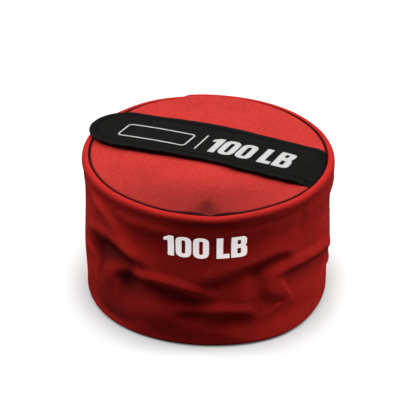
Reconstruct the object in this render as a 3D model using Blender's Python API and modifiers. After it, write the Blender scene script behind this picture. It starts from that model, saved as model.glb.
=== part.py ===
"""A sand-filled training bag: a low round cloth bag with a zip under a black hook-and-loop flap.

Metres, +Z up. The origin is the middle of the base on the floor. +X runs along the flap, from its
free round tip at the left to the end that is sewn into the rim at the right.
"""

import math

import bmesh
import bpy
import numpy as np

# Overall sizes
RIM_RADIUS = 0.2032
RIM_HEIGHT = 0.2425
BASE_INSET = 0.0054
BELLY_INSET = 0.0042
WAIST_INSET = 0.0058
BELLY_HEIGHT_share = 0.34
WAIST_HEIGHT_share = 0.76

# Every pair of touching pieces keeps this gap
GAP = 0.0003

# Cloth, tape and thread thicknesses
SHELL_PLY = 0.0012
FLAP_PLY = 0.0009
LINER_PLY = 0.0005
BINDING_PLY = 0.0006
SEAM_TAPE_PLY = 0.0006

# Rim and top panel
RIM_WIDTH = 0.0118
RIM_INNER_ARCH = 0.0040
CROWN_RISE = 0.0035
SHOULDER_DROP = 0.0020
SHOULDER_BEND = 0.0025
FALL_WIDTH = 0.0234
SEAM_ALLOWANCE = 0.0100
BINDING_DEPTH = 0.0060

# Base
BASE_OUTER_BEND = 0.0060
BASE_INNER_BEND = 0.0030
REINFORCEMENT_MARGIN = 0.0035

# Flap
FLAP_WIDTH = 0.1140
FLAP_OFFSET = 0.0135
FLAP_OVERHANG = 0.0060
FLAP_TIP_DROP = 0.0050
HINGE_INSET = 0.0130
ROOT_END_MARGIN = 0.0030

# Hook and loop tape
LOOP_THICKNESS = 0.0016
HOOK_THICKNESS = 0.0015
TAPE_EDGE_MARGIN = 0.0120
TAPE_STRIP_WIDTH = 0.0250
TAPE_END_MARGIN = 0.0060
TAPE_CORNER = 0.0030
TIP_PATCH_MARGIN = 0.0020
TIP_PATCH_CLEARANCE = 0.0075
TIP_PATCH_SIDE = 0.0020

# Zip
ZIP_MARGIN = 0.0280
ZIP_WINDOW_WIDTH = 0.0160
ZIP_WINDOW_CORNER = 0.0020
ZIP_TAPE_WIDTH = 0.0170
ZIP_TAPE_PLY = 0.0006
ZIP_TAPE_TAIL = 0.0080
COIL_WIDTH = 0.0036
COIL_THICKNESS = 0.0020
COIL_GAP = 0.0012
COIL_EDGE = 0.0005
STOP_LENGTH = 0.0030
STOP_EDGE = 0.0004

# Slider and its cord pull
SLIDER_LENGTH = 0.0120
SLIDER_LIP = 0.0010
SLIDER_REST_CLEARANCE = 0.0010
SLIDER_UNDER_PLATE = 0.0007
SLIDER_PLATE_share = 0.35
PULL_CORD_share = 0.45
BAIL_BAR_share = 0.20
BAIL_LENGTH = 0.0070
BAIL_WIDTH = 0.0016
BAIL_FOOT = 0.0012
PULL_LOOP_WIDTH = 0.0044
PULL_CORD_LENGTH = 0.0150
GRIP_LENGTH = 0.0160
GRIP_WIDTH = 0.0070
GRIP_CORNER = 0.0020

# Liner and sand
NECK_RADIUS = 0.0090
NECK_DEPTH = 0.0100
NECK_FLARE = 0.0060
NECK_DIP = 0.0030
TIE_THICKNESS = 0.0020
TIE_WIDTH = 0.0040
TIE_DROP = 0.0015
LINER_EDGE_DROP = 0.0020
LINER_SHOULDER_DROP = 0.0120
LINER_SHOULDER_shares = ((0.25, 0.50), (0.55, 0.00), (0.80, 1.00))

# Facet counts
RING_STEPS = 48
BEND_STEPS = 3
ARCH_STEPS = 4
FALL_STEPS = 5
WALL_STEPS = 9
TIP_STEPS = 16
TIE_STEPS = 24
CORNER_STEPS = 3
SIDE_SEAM_STEP = 16
CORD_POINTS = 7
OVERRUN = 0.0100
MERGE = 0.00001

# Heights and radii that follow from the sizes above
BASE_RADIUS = RIM_RADIUS - BASE_INSET
BELLY_RADIUS = RIM_RADIUS - BELLY_INSET
WAIST_RADIUS = RIM_RADIUS - WAIST_INSET
SEAM_RADIUS = RIM_RADIUS - RIM_WIDTH
PLATEAU_RADIUS = SEAM_RADIUS - FALL_WIDTH
PANEL_HEIGHT = RIM_HEIGHT + CROWN_RISE
SHOULDER_HEIGHT = RIM_HEIGHT - SHOULDER_DROP
RIM_OUTER_ARCH = RIM_WIDTH - GAP / 2 - RIM_INNER_ARCH
TOP_ALLOWANCE_END = RIM_HEIGHT - RIM_INNER_ARCH - SEAM_ALLOWANCE
BASE_SEAM_RADIUS = BASE_RADIUS - BASE_OUTER_BEND - BASE_INNER_BEND - GAP / 2
FLAP_HALF = FLAP_WIDTH / 2
FLAP_LOW = PANEL_HEIGHT + LOOP_THICKNESS + HOOK_THICKNESS + 3 * GAP
FLAP_STACK = 2 * FLAP_PLY + GAP
FLAP_TIP_X = -(RIM_RADIUS + FLAP_OVERHANG)
HINGE_X = PLATEAU_RADIUS - HINGE_INSET
HINGE_HEIGHT = FLAP_LOW + FLAP_STACK + GAP
ZIP_HALF = PLATEAU_RADIUS - ZIP_MARGIN
ZIP_TAPE_TOP = PANEL_HEIGHT - SHELL_PLY - GAP
COIL_LOW = ZIP_TAPE_TOP + GAP
COIL_TOP = COIL_LOW + COIL_THICKNESS
COIL_HALF = ZIP_HALF - STOP_LENGTH - 2 * GAP
SLIDER_SPACE = FLAP_LOW - COIL_TOP - 4 * GAP
SLIDER_PLATE = SLIDER_SPACE * SLIDER_PLATE_share
PULL_CORD = SLIDER_SPACE * PULL_CORD_share
BAIL_BAR = SLIDER_SPACE * BAIL_BAR_share
SLIDER_TOP = COIL_TOP + GAP + SLIDER_PLATE
SLIDER_LOW = ZIP_TAPE_TOP - ZIP_TAPE_PLY - GAP - SLIDER_UNDER_PLATE
PULL_HEIGHT = SLIDER_TOP + GAP + PULL_CORD / 2
SLIDER_REST_X = -COIL_HALF + SLIDER_REST_CLEARANCE + SLIDER_LENGTH / 2
NECK_TOP = SLIDER_LOW - GAP
LINER_CROWN = PANEL_HEIGHT - NECK_DEPTH
WALL_HEIGHTS = np.linspace(RIM_HEIGHT - RIM_OUTER_ARCH, BASE_OUTER_BEND, WALL_STEPS + 1)
INNER_HEIGHTS = [
    z for z in WALL_HEIGHTS if 2 * SEAM_ALLOWANCE < z < TOP_ALLOWANCE_END - LINER_SHOULDER_DROP
]
TAPE_OUTER = FLAP_HALF - TAPE_EDGE_MARGIN
TAPE_INNER = TAPE_OUTER - TAPE_STRIP_WIDTH
TAPE_HALF_LENGTH = min(
    math.sqrt(PLATEAU_RADIUS**2 - (abs(FLAP_OFFSET) + TAPE_OUTER) ** 2), HINGE_X
) - TAPE_END_MARGIN


def clear_scene():
    """Remove every object that the file already holds."""
    for item in list(bpy.data.objects):
        bpy.data.objects.remove(item, do_unlink=True)


def collection(name):
    group = bpy.data.collections.new(name)
    bpy.context.scene.collection.children.link(group)
    return group


def material(name, colour, roughness, metallic=0.0):
    finish = bpy.data.materials.new(name)
    finish.use_nodes = True
    shader = finish.node_tree.nodes["Principled BSDF"]
    shader.inputs["Base Color"].default_value = (*colour, 1.0)
    shader.inputs["Roughness"].default_value = roughness
    shader.inputs["Metallic"].default_value = metallic
    finish.diffuse_color = (*colour, 1.0)
    return finish


clear_scene()
PARTS = collection("sandbag_trainer")
CUTTERS = collection("cutters")

RED_CLOTH = material("red_cloth", (0.52, 0.035, 0.025), 0.85)
DARK_RED_TAPE = material("dark_red_tape", (0.26, 0.02, 0.02), 0.85)
BLACK_CLOTH = material("black_cloth", (0.014, 0.014, 0.013), 0.80)
HOOK_TAPE = material("hook_tape", (0.02, 0.02, 0.02), 0.60)
LOOP_TAPE = material("loop_tape", (0.03, 0.03, 0.03), 0.95)
ZIP_TAPE = material("zip_tape", (0.02, 0.02, 0.02), 0.85)
ZIP_COIL = material("zip_coil", (0.03, 0.03, 0.03), 0.40)
ZIP_METAL = material("zip_metal", (0.10, 0.10, 0.11), 0.35, 1.0)
PULL_CORD_CLOTH = material("pull_cord", (0.02, 0.02, 0.02), 0.80)
GRIP_RUBBER = material("grip_rubber", (0.03, 0.03, 0.03), 0.55)
LINER_CLOTH = material("liner_cloth", (0.62, 0.62, 0.58), 0.70)
TIE_PLASTIC = material("tie_plastic", (0.03, 0.03, 0.03), 0.50)
SAND = material("sand", (0.55, 0.43, 0.28), 0.95)


def empty(name, location):
    """An empty that pieces on one moving body hang from."""
    frame = bpy.data.objects.new(name, None)
    frame.location = location
    PARTS.objects.link(frame)
    return frame


def add_object(name, data, finish, parent=None, place=(0, 0, 0), turn=0.0, group=None):
    """Link data as an object whose world place is given, under a parent that isn't turned."""
    item = bpy.data.objects.new(name, data)
    start = parent.location if parent else (0, 0, 0)
    item.parent = parent
    item.location = [p - s for p, s in zip(place, start)]
    item.rotation_euler.z = turn
    (group or PARTS).objects.link(item)
    if finish:
        data.materials.append(finish)
    return item


def cutter(item):
    """Hide a piece that only cuts another."""
    item.hide_render = True
    item.display_type = "WIRE"
    return item


def mesh_from(name, build):
    mesh = bpy.data.meshes.new(name)
    work = bmesh.new()
    build(work)
    work.to_mesh(mesh)
    work.free()
    return mesh


def box_mesh(name, size):
    """A box of the given size round its own middle."""

    def build(work):
        bmesh.ops.create_cube(work, size=1.0)
        bmesh.ops.scale(work, vec=size, verts=work.verts)

    return mesh_from(name, build)


def bevel(item, width, segments=2):
    modifier = item.modifiers.new("bevel", "BEVEL")
    modifier.width = width
    modifier.segments = segments
    modifier.limit_method = "ANGLE"


def solidify(item, thickness):
    modifier = item.modifiers.new("ply", "SOLIDIFY")
    modifier.thickness = thickness
    modifier.offset = -1.0
    modifier.use_even_offset = True


def boolean(item, tool, operation):
    modifier = item.modifiers.new(operation.lower(), "BOOLEAN")
    modifier.operation = operation
    modifier.object = tool
    modifier.solver = "EXACT"


def turned(name, profile, finish, ply=None, closed=False, steps=RING_STEPS, first=0, count=None, parent=None,
           place=(0, 0, 0)):
    """Turn a profile of (radius, height) points round Z; a ply makes it a shell of that thickness.

    The profile runs down its outer side. first and count pick a sector of the ring's facets.
    """
    mesh = bpy.data.meshes.new(name)
    edges = [(i, i + 1) for i in range(len(profile) - 1)]
    if closed:
        edges.append((len(profile) - 1, 0))
    mesh.from_pydata([(r, 0, z) for r, z in profile], edges, [])
    facet = math.tau / steps
    item = add_object(name, mesh, finish, parent, place, turn=first * facet)
    screw = item.modifiers.new("turn", "SCREW")
    screw.axis = "Z"
    screw.angle = facet * (count or steps)
    screw.steps = count or steps
    screw.render_steps = count or steps
    screw.use_merge_vertices = True
    screw.merge_threshold = MERGE
    screw.use_smooth_shade = True
    if ply:
        solidify(item, ply)
    return item


def filled_curve(name, outline, thickness):
    """A closed outline as a filled 2D curve, half its thickness to each side of its plane."""
    curve = bpy.data.curves.new(name, "CURVE")
    curve.dimensions = "2D"
    curve.fill_mode = "BOTH"
    curve.extrude = thickness / 2
    spline = curve.splines.new("POLY")
    spline.points.add(len(outline) - 1)
    for point, (x, y) in zip(spline.points, outline):
        point.co = (x, y, 0, 1)
    spline.use_cyclic_u = True
    return curve


def flat_piece(name, outline, low, high, finish, parent=None, group=None):
    """A flat outline of world (x, y) points, filled from one height to another."""
    outline = np.array(outline, dtype=float)
    middle = outline.mean(axis=0)
    curve = filled_curve(name, outline - middle, high - low)
    return add_object(name, curve, finish, parent, (*middle, (low + high) / 2), group=group)


def curve_to_mesh(item):
    """Swap a curve object for a mesh of the same shape and place, with its caps joined on."""
    bpy.context.view_layer.update()
    graph = bpy.context.evaluated_depsgraph_get()
    mesh = bpy.data.meshes.new_from_object(item.evaluated_get(graph))
    work = bmesh.new()
    work.from_mesh(mesh)
    bmesh.ops.remove_doubles(work, verts=work.verts, dist=MERGE)
    work.to_mesh(mesh)
    work.free()
    name, group, parent = item.name, item.users_collection[0], item.parent
    place = item.matrix_world.copy()
    bpy.data.objects.remove(item, do_unlink=True)
    solid = bpy.data.objects.new(name, mesh)
    group.objects.link(solid)
    solid.parent = parent
    solid.matrix_world = place
    return solid


def arc(centre, radius, start, end, steps):
    """Points of an arc from one angle to another, in degrees, both ends included."""
    angles = np.radians(np.linspace(start, end, steps + 1))
    return [(centre[0] + radius * math.cos(a), centre[1] + radius * math.sin(a)) for a in angles]


def ease(t):
    """A level start and end between 0 and 1."""
    return 0.5 - 0.5 * math.cos(math.pi * min(max(t, 0.0), 1.0))


def rounded_rectangle(x0, x1, y0, y1, corner):
    """Outline of a rectangle with round corners, counter-clockwise."""
    left, right, low, high = x0 + corner, x1 - corner, y0 + corner, y1 - corner
    points = arc((right, high), corner, 0, 90, CORNER_STEPS)
    points += arc((left, high), corner, 90, 180, CORNER_STEPS)
    points += arc((left, low), corner, 180, 270, CORNER_STEPS)
    points += arc((right, low), corner, 270, 360, CORNER_STEPS)
    return points


def offset_inward(profile, distance):
    """Move an open profile inward by a distance, with mitred corners."""
    points = np.array(profile)
    steps = np.diff(points, axis=0)
    outward = np.stack([-steps[:, 1], steps[:, 0]], axis=1)
    outward /= np.linalg.norm(outward, axis=1, keepdims=True)
    before = np.vstack([outward[:1], outward])
    after = np.vstack([outward, outward[-1:]])
    mitre = before + after
    mitre /= 1.0 + (before * after).sum(axis=1, keepdims=True)
    return [tuple(p) for p in points - distance * mitre]


def wall_radius(height):
    """Outer radius of the side panel at a height, level at each of its four stations."""
    stations = (
        (BASE_OUTER_BEND, BASE_RADIUS),
        (RIM_HEIGHT * BELLY_HEIGHT_share, BELLY_RADIUS),
        (RIM_HEIGHT * WAIST_HEIGHT_share, WAIST_RADIUS),
        (RIM_HEIGHT - RIM_OUTER_ARCH, RIM_RADIUS),
    )
    for (z0, r0), (z1, r1) in zip(stations, stations[1:]):
        if height <= z1:
            return r0 + (r1 - r0) * ease((height - z0) / (z1 - z0))
    return RIM_RADIUS


def panel_height(radius):
    """Outer height of the top panel at a radius: level, then falling to the shoulder at the seam."""
    end = SEAM_RADIUS - GAP / 2 - SHOULDER_BEND
    fall = ease((radius - PLATEAU_RADIUS) / (end - PLATEAU_RADIUS))
    return PANEL_HEIGHT - (PANEL_HEIGHT - SHOULDER_HEIGHT) * fall


# Side panel: up its allowance, over the rolled rim, down the wall, under the base, up its allowance
def side_panel():
    inner_centre = (SEAM_RADIUS + GAP / 2 + RIM_INNER_ARCH, RIM_HEIGHT - RIM_INNER_ARCH)
    outer_centre = (inner_centre[0], RIM_HEIGHT - RIM_OUTER_ARCH)
    base_outer = (BASE_RADIUS - BASE_OUTER_BEND, BASE_OUTER_BEND)
    base_inner = (base_outer[0], BASE_INNER_BEND)
    profile = [(SEAM_RADIUS + GAP / 2, TOP_ALLOWANCE_END)]
    profile += arc(inner_centre, RIM_INNER_ARCH, 180, 90, ARCH_STEPS)
    profile += arc(outer_centre, RIM_OUTER_ARCH, 90, 0, ARCH_STEPS)[1:]
    profile += [(wall_radius(z), z) for z in WALL_HEIGHTS[1:-1]]
    profile += arc(base_outer, BASE_OUTER_BEND, 0, -90, BEND_STEPS)
    profile += arc(base_inner, BASE_INNER_BEND, -90, -180, BEND_STEPS)[1:]
    profile.append((BASE_SEAM_RADIUS + GAP / 2, SEAM_ALLOWANCE))
    return turned("side_panel", profile, RED_CLOTH, ply=SHELL_PLY)


# Tape inside the upright seam that joins the side panel's ends
def side_seam_tape():
    profile = [(wall_radius(z) - SHELL_PLY - GAP, z) for z in INNER_HEIGHTS]
    return turned("side_seam_tape", profile, DARK_RED_TAPE, ply=SEAM_TAPE_PLY, first=SIDE_SEAM_STEP, count=1)


# Top panel, with the zip's window cut through it
def top_panel():
    end = SEAM_RADIUS - GAP / 2 - SHOULDER_BEND
    profile = [(0, PANEL_HEIGHT)]
    profile += [(r, panel_height(r)) for r in np.linspace(PLATEAU_RADIUS, end, FALL_STEPS + 1)[:-1]]
    profile += arc((end, SHOULDER_HEIGHT - SHOULDER_BEND), SHOULDER_BEND, 90, 0, BEND_STEPS)
    profile.append((SEAM_RADIUS - GAP / 2, TOP_ALLOWANCE_END))
    panel = turned("top_panel", profile, RED_CLOTH, ply=SHELL_PLY)
    y0, y1 = FLAP_OFFSET - ZIP_WINDOW_WIDTH / 2, FLAP_OFFSET + ZIP_WINDOW_WIDTH / 2
    outline = rounded_rectangle(-ZIP_HALF, ZIP_HALF, y0, y1, ZIP_WINDOW_CORNER)
    low, high = PANEL_HEIGHT - OVERRUN, PANEL_HEIGHT + OVERRUN
    window = curve_to_mesh(flat_piece("zip_window", outline, low, high, None, group=CUTTERS))
    boolean(panel, cutter(window), "DIFFERENCE")
    return panel


# Tape folded round a pair of seam allowances; side is 1 where it opens upward and -1 where it opens down
def seam_binding(name, seam_radius, end, side):
    inner = seam_radius - GAP / 2 - SHELL_PLY - GAP
    outer = seam_radius + GAP / 2 + SHELL_PLY + GAP
    floor = end - side * GAP
    lip = end + side * BINDING_DEPTH
    section = [
        (outer + BINDING_PLY, lip),
        (outer + BINDING_PLY, floor - side * BINDING_PLY),
        (inner - BINDING_PLY, floor - side * BINDING_PLY),
        (inner - BINDING_PLY, lip),
        (inner, lip),
        (inner, floor),
        (outer, floor),
        (outer, lip),
    ]
    if side < 0:
        section.reverse()
    return turned(name, section, DARK_RED_TAPE, closed=True)


# Base disc with its edge turned up into the seam
def bottom_panel():
    edge = BASE_SEAM_RADIUS - GAP / 2
    profile = [(edge, SEAM_ALLOWANCE)]
    profile += arc((edge - BASE_INNER_BEND, BASE_INNER_BEND), BASE_INNER_BEND, 0, -90, BEND_STEPS)
    profile.append((0, 0))
    return turned("bottom_panel", profile, RED_CLOTH, ply=SHELL_PLY)


def bottom_reinforcement():
    edge = BASE_SEAM_RADIUS - SHELL_PLY - REINFORCEMENT_MARGIN
    low = SHELL_PLY + GAP
    profile = [(0, low + SHELL_PLY), (edge, low + SHELL_PLY), (edge, low), (0, low)]
    return turned("bottom_reinforcement", profile, RED_CLOTH)


# Liner: neck, shoulder, wall and foot, inside every seam
def liner_profile():
    binding_low = TOP_ALLOWANCE_END - GAP - BINDING_PLY
    inset = SHELL_PLY + SEAM_TAPE_PLY + 2 * GAP
    shoulder_top = binding_low - LINER_EDGE_DROP
    binding_inner = SEAM_RADIUS - GAP / 2 - SHELL_PLY - GAP - BINDING_PLY
    foot_radius = BASE_SEAM_RADIUS - SHELL_PLY - 2 * GAP - BINDING_PLY - GAP
    foot_low = 2 * (SHELL_PLY + GAP) + GAP
    binding_top = SEAM_ALLOWANCE + GAP + BINDING_PLY + GAP
    profile = [
        (NECK_RADIUS, NECK_TOP),
        (NECK_RADIUS, LINER_CROWN - NECK_DIP / 2),
        (NECK_RADIUS + NECK_FLARE, LINER_CROWN - NECK_DIP),
    ]
    profile += [(SEAM_RADIUS * share, LINER_CROWN - NECK_DIP * dip) for share, dip in LINER_SHOULDER_shares]
    profile.append((binding_inner - LINER_SHOULDER_DROP, shoulder_top))
    profile += [(wall_radius(z) - inset, z) for z in INNER_HEIGHTS]
    profile.append((foot_radius, binding_top))
    profile.append((foot_radius - GAP, (binding_top + foot_low) / 2))
    profile.append((foot_radius - BASE_INNER_BEND, foot_low))
    profile.append((0, foot_low))
    return profile


def liner_bag():
    return turned("liner_bag", liner_profile(), LINER_CLOTH, ply=LINER_PLY)


def liner_tie():
    low = NECK_TOP - TIE_DROP - TIE_WIDTH
    inner = NECK_RADIUS + GAP
    centre = (inner + TIE_THICKNESS / 2, low + TIE_WIDTH / 2)
    section = [
        (centre[0] + TIE_THICKNESS / 2 * math.cos(a), centre[1] - TIE_WIDTH / 2 * math.sin(a))
        for a in np.linspace(0, math.tau, 2 * ARCH_STEPS, endpoint=False)
    ]
    return turned("liner_tie", section, TIE_PLASTIC, closed=True, steps=TIE_STEPS)


# Sand: the liner's inside, from its crown to its foot
def sand_fill():
    inside = offset_inward(liner_profile()[2:], LINER_PLY + GAP)
    top = (0, inside[0][1])
    bottom = (0, inside[-1][1])
    return turned("sand_fill", [top, *inside[:-1], bottom], SAND)


# Loop tape on the top panel and hook tape under the flap, in matching pairs
def closure_tapes(kind, low, thickness, finish, parent=None):
    for side, sign in (("near", -1), ("far", 1)):
        edges = sorted((FLAP_OFFSET + sign * TAPE_INNER, FLAP_OFFSET + sign * TAPE_OUTER))
        outline = rounded_rectangle(-TAPE_HALF_LENGTH, TAPE_HALF_LENGTH, *edges, TAPE_CORNER)
        flat_piece(f"{kind}_tape_{side}", outline, low, low + thickness, finish, parent)
    half = TAPE_INNER - TIP_PATCH_SIDE
    x0, x1 = -(PLATEAU_RADIUS - TIP_PATCH_MARGIN), -(ZIP_HALF + TIP_PATCH_CLEARANCE)
    outline = rounded_rectangle(x0, x1, FLAP_OFFSET - half, FLAP_OFFSET + half, TAPE_CORNER)
    flat_piece(f"{kind}_tape_tip", outline, low, low + thickness, finish, parent)


# Zip: two tapes under the panel, two rows of coil in its window, and three stops
def zip_fastener():
    half_length = ZIP_HALF + ZIP_TAPE_TAIL
    row_height = COIL_LOW + COIL_THICKNESS / 2
    for side, sign in (("near", -1), ("far", 1)):
        tape_y = FLAP_OFFSET + sign * (COIL_GAP / 2 + ZIP_TAPE_WIDTH / 2)
        size = (2 * half_length, ZIP_TAPE_WIDTH, ZIP_TAPE_PLY)
        place = (0, tape_y, ZIP_TAPE_TOP - ZIP_TAPE_PLY / 2)
        name = f"zipper_tape_{side}"
        add_object(name, box_mesh(name, size), ZIP_TAPE, place=place)
        row_y = FLAP_OFFSET + sign * (COIL_GAP / 2 + COIL_WIDTH / 2)
        size = (2 * COIL_HALF, COIL_WIDTH, COIL_THICKNESS)
        name = f"zipper_coil_{side}"
        bevel(add_object(name, box_mesh(name, size), ZIP_COIL, place=(0, row_y, row_height)), COIL_EDGE)
        size = (STOP_LENGTH, COIL_WIDTH, COIL_THICKNESS)
        stop_x = -(COIL_HALF + GAP + STOP_LENGTH / 2)
        name = f"zipper_top_stop_{side}"
        place = (stop_x, row_y, row_height)
        bevel(add_object(name, box_mesh(name, size), ZIP_METAL, place=place), STOP_EDGE)
    size = (STOP_LENGTH, 2 * COIL_WIDTH + COIL_GAP, COIL_THICKNESS)
    place = (COIL_HALF + GAP + STOP_LENGTH / 2, FLAP_OFFSET, row_height)
    name = "zipper_bottom_stop"
    bevel(add_object(name, box_mesh(name, size), ZIP_METAL, place=place), STOP_EDGE)


# Slider: one section along the zip, two plates round both rows with a web between them, and a bail
def zipper_slider(parent):
    reach = COIL_GAP / 2 + COIL_WIDTH + GAP + SLIDER_LIP
    web = COIL_GAP / 2 - GAP
    lip = reach - SLIDER_LIP
    under_top = SLIDER_LOW + SLIDER_UNDER_PLATE
    middle = (SLIDER_TOP + SLIDER_LOW) / 2
    section = [
        (reach, SLIDER_TOP - middle),
        (reach, COIL_LOW - middle),
        (lip, COIL_LOW - middle),
        (lip, SLIDER_TOP - SLIDER_PLATE - middle),
        (web, SLIDER_TOP - SLIDER_PLATE - middle),
        (web, under_top - middle),
        (reach, under_top - middle),
        (reach, SLIDER_LOW - middle),
    ]
    section += [(-y, z) for y, z in reversed(section)]
    place = (SLIDER_REST_X, FLAP_OFFSET, middle)
    curve = filled_curve("zipper_slider", section, SLIDER_LENGTH)
    run = add_object("zipper_slider", curve, ZIP_METAL, parent, place)
    run.rotation_euler = (math.pi / 2, 0, math.pi / 2)
    slider = curve_to_mesh(run)
    bail_top = SLIDER_TOP + 2 * GAP + PULL_CORD + BAIL_BAR
    bail_low = SLIDER_TOP - SLIDER_PLATE / 2
    frame = box_mesh("bail", (BAIL_LENGTH, BAIL_WIDTH, bail_top - bail_low))
    bail = add_object("bail", frame, None, place=(*place[:2], (bail_top + bail_low) / 2), group=CUTTERS)
    eye_size = (BAIL_LENGTH - 2 * BAIL_FOOT, BAIL_WIDTH + OVERRUN, 2 * GAP + PULL_CORD)
    eye_place = (*place[:2], SLIDER_TOP + eye_size[2] / 2)
    eye = add_object("bail_eye", box_mesh("bail_eye", eye_size), None, place=eye_place, group=CUTTERS)
    boolean(cutter(bail), cutter(eye), "DIFFERENCE")
    boolean(slider, bail, "UNION")
    return slider


# Pull: a loop of cord lying flat through the bail, and a moulded grip past its two ends
def zipper_pull(parent):
    side = PULL_LOOP_WIDTH / 2
    bend_x = SLIDER_REST_X - BAIL_LENGTH / 2 + BAIL_FOOT + GAP + PULL_CORD / 2 + side
    end_x = SLIDER_REST_X + PULL_CORD_LENGTH
    bend = arc((bend_x, FLAP_OFFSET), side, 90, 270, CORD_POINTS)
    route = [(end_x, FLAP_OFFSET + side), *bend, (end_x, FLAP_OFFSET - side)]
    curve = bpy.data.curves.new("zipper_pull_cord", "CURVE")
    curve.dimensions = "3D"
    curve.bevel_depth = PULL_CORD / 2
    curve.bevel_resolution = 2
    curve.use_fill_caps = True
    spline = curve.splines.new("POLY")
    spline.points.add(len(route) - 1)
    for point, (x, y) in zip(spline.points, route):
        point.co = (x - SLIDER_REST_X, y - FLAP_OFFSET, 0, 1)
    place = (SLIDER_REST_X, FLAP_OFFSET, PULL_HEIGHT)
    add_object("zipper_pull_cord", curve, PULL_CORD_CLOTH, parent, place)
    x0 = end_x + GAP
    half = GRIP_WIDTH / 2
    outline = rounded_rectangle(x0, x0 + GRIP_LENGTH, FLAP_OFFSET - half, FLAP_OFFSET + half, GRIP_CORNER)
    low, high = PULL_HEIGHT - PULL_CORD / 2, PULL_HEIGHT + PULL_CORD / 2
    flat_piece("zipper_pull_grip", outline, low, high, GRIP_RUBBER, parent)


def flap_low(x):
    """Height of the flap's underside along X: level, then drooping past the plateau to its tip."""
    return FLAP_LOW - FLAP_TIP_DROP * ease((-x - PLATEAU_RADIUS) / (-FLAP_TIP_X - PLATEAU_RADIUS))


def flap_outline():
    """Plan of the flap: square at the hinge line, half round at the tip."""
    x1 = HINGE_X - GAP / 2
    centre = (FLAP_TIP_X + FLAP_HALF, FLAP_OFFSET)
    tip = arc(centre, FLAP_HALF, 90, 270, TIP_STEPS)
    return [(x1, FLAP_OFFSET - FLAP_HALF), (x1, FLAP_OFFSET + FLAP_HALF), *tip]


# One ply of the flap: a sheet drawn along its side view, cut to the plan
def flap_ply(name, rise, parent):
    past_tip = FLAP_TIP_X - OVERRUN
    droop = np.linspace(-PLATEAU_RADIUS, FLAP_TIP_X, FALL_STEPS + 1)
    stations = [HINGE_X + OVERRUN, 0, *droop, past_tip]
    half = FLAP_HALF + OVERRUN
    lift = rise + FLAP_PLY - HINGE_HEIGHT

    def build(work):
        line = [work.verts.new((x - HINGE_X, half, flap_low(x) + lift)) for x in stations]
        edges = [work.edges.new(pair) for pair in zip(line, line[1:])]
        run = bmesh.ops.extrude_edge_only(work, edges=edges)
        moved = [g for g in run["geom"] if isinstance(g, bmesh.types.BMVert)]
        bmesh.ops.translate(work, vec=(0, -2 * half, 0), verts=moved)
        bmesh.ops.recalc_face_normals(work, faces=work.faces)
        if sum(face.normal.z for face in work.faces) < 0:
            bmesh.ops.reverse_faces(work, faces=work.faces)

    ply = add_object(name, mesh_from(name, build), BLACK_CLOTH, parent, (HINGE_X, FLAP_OFFSET, HINGE_HEIGHT))
    solidify(ply, FLAP_PLY)
    low, high = FLAP_LOW - FLAP_TIP_DROP - OVERRUN, HINGE_HEIGHT + OVERRUN
    plan = curve_to_mesh(flat_piece(f"{name}_plan", flap_outline(), low, high, None, group=CUTTERS))
    boolean(ply, cutter(plan), "INTERSECT")
    return ply


# Sewn end of the flap: a ring that follows the top panel down into the rim seam, cut to the flap's width
def flap_root():
    end = SEAM_RADIUS - GAP / 2 - SHOULDER_BEND - ROOT_END_MARGIN
    stack = FLAP_LOW - PANEL_HEIGHT + FLAP_STACK
    seat = GAP + FLAP_STACK
    profile = [(HINGE_X - OVERRUN, PANEL_HEIGHT + stack), (HINGE_X, PANEL_HEIGHT + stack)]
    for r in np.linspace(PLATEAU_RADIUS, end, FALL_STEPS + 1):
        share = ease((r - HINGE_X) / (end - HINGE_X))
        profile.append((r, panel_height(r) + stack + (seat - stack) * share))
    root = turned("flap_root", profile, BLACK_CLOTH, ply=FLAP_STACK)
    low, high = SHOULDER_HEIGHT - OVERRUN, HINGE_HEIGHT + OVERRUN
    x0, x1 = HINGE_X + GAP / 2, SEAM_RADIUS
    y0, y1 = FLAP_OFFSET - FLAP_HALF, FLAP_OFFSET + FLAP_HALF
    outline = [(x0, y0), (x1, y0), (x1, y1), (x0, y1)]
    plan = curve_to_mesh(flat_piece("flap_root_plan", outline, low, high, None, group=CUTTERS))
    boolean(root, cutter(plan), "INTERSECT")
    return root


def build_bag():
    side_panel()
    side_seam_tape()
    top_panel()
    seam_binding("top_seam_binding", SEAM_RADIUS, TOP_ALLOWANCE_END, 1)
    bottom_panel()
    bottom_reinforcement()
    seam_binding("bottom_seam_binding", BASE_SEAM_RADIUS, SEAM_ALLOWANCE, -1)
    liner_bag()
    liner_tie()
    sand_fill()
    zip_fastener()
    closure_tapes("loop", PANEL_HEIGHT + GAP, LOOP_THICKNESS, LOOP_TAPE)
    flap_root()


def build_flap():
    hinge = empty("flap_hinge", (HINGE_X, FLAP_OFFSET, HINGE_HEIGHT))
    flap_ply("flap_lower_ply", 0, hinge)
    flap_ply("flap_upper_ply", FLAP_PLY + GAP, hinge)
    closure_tapes("hook", FLAP_LOW - GAP - HOOK_THICKNESS, HOOK_THICKNESS, HOOK_TAPE, hinge)


def build_slider():
    runner = empty("zip_runner", (SLIDER_REST_X, FLAP_OFFSET, COIL_TOP))
    zipper_slider(runner)
    zipper_pull(runner)


build_bag()
build_flap()
build_slider()
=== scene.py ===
"""Looks of a sand-filled training bag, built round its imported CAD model.

Metres, +Z up, in the CAD model's own frame: the origin is the middle of the base on the floor, and +X runs
along the black flap, from its free round tip to the end that is sewn into the rim.
"""

import functools
import logging
import math
from collections.abc import Callable, Sequence
from dataclasses import dataclass
from enum import Enum

import bmesh
import bpy
import numpy as np
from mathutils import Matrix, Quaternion, Vector


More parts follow.
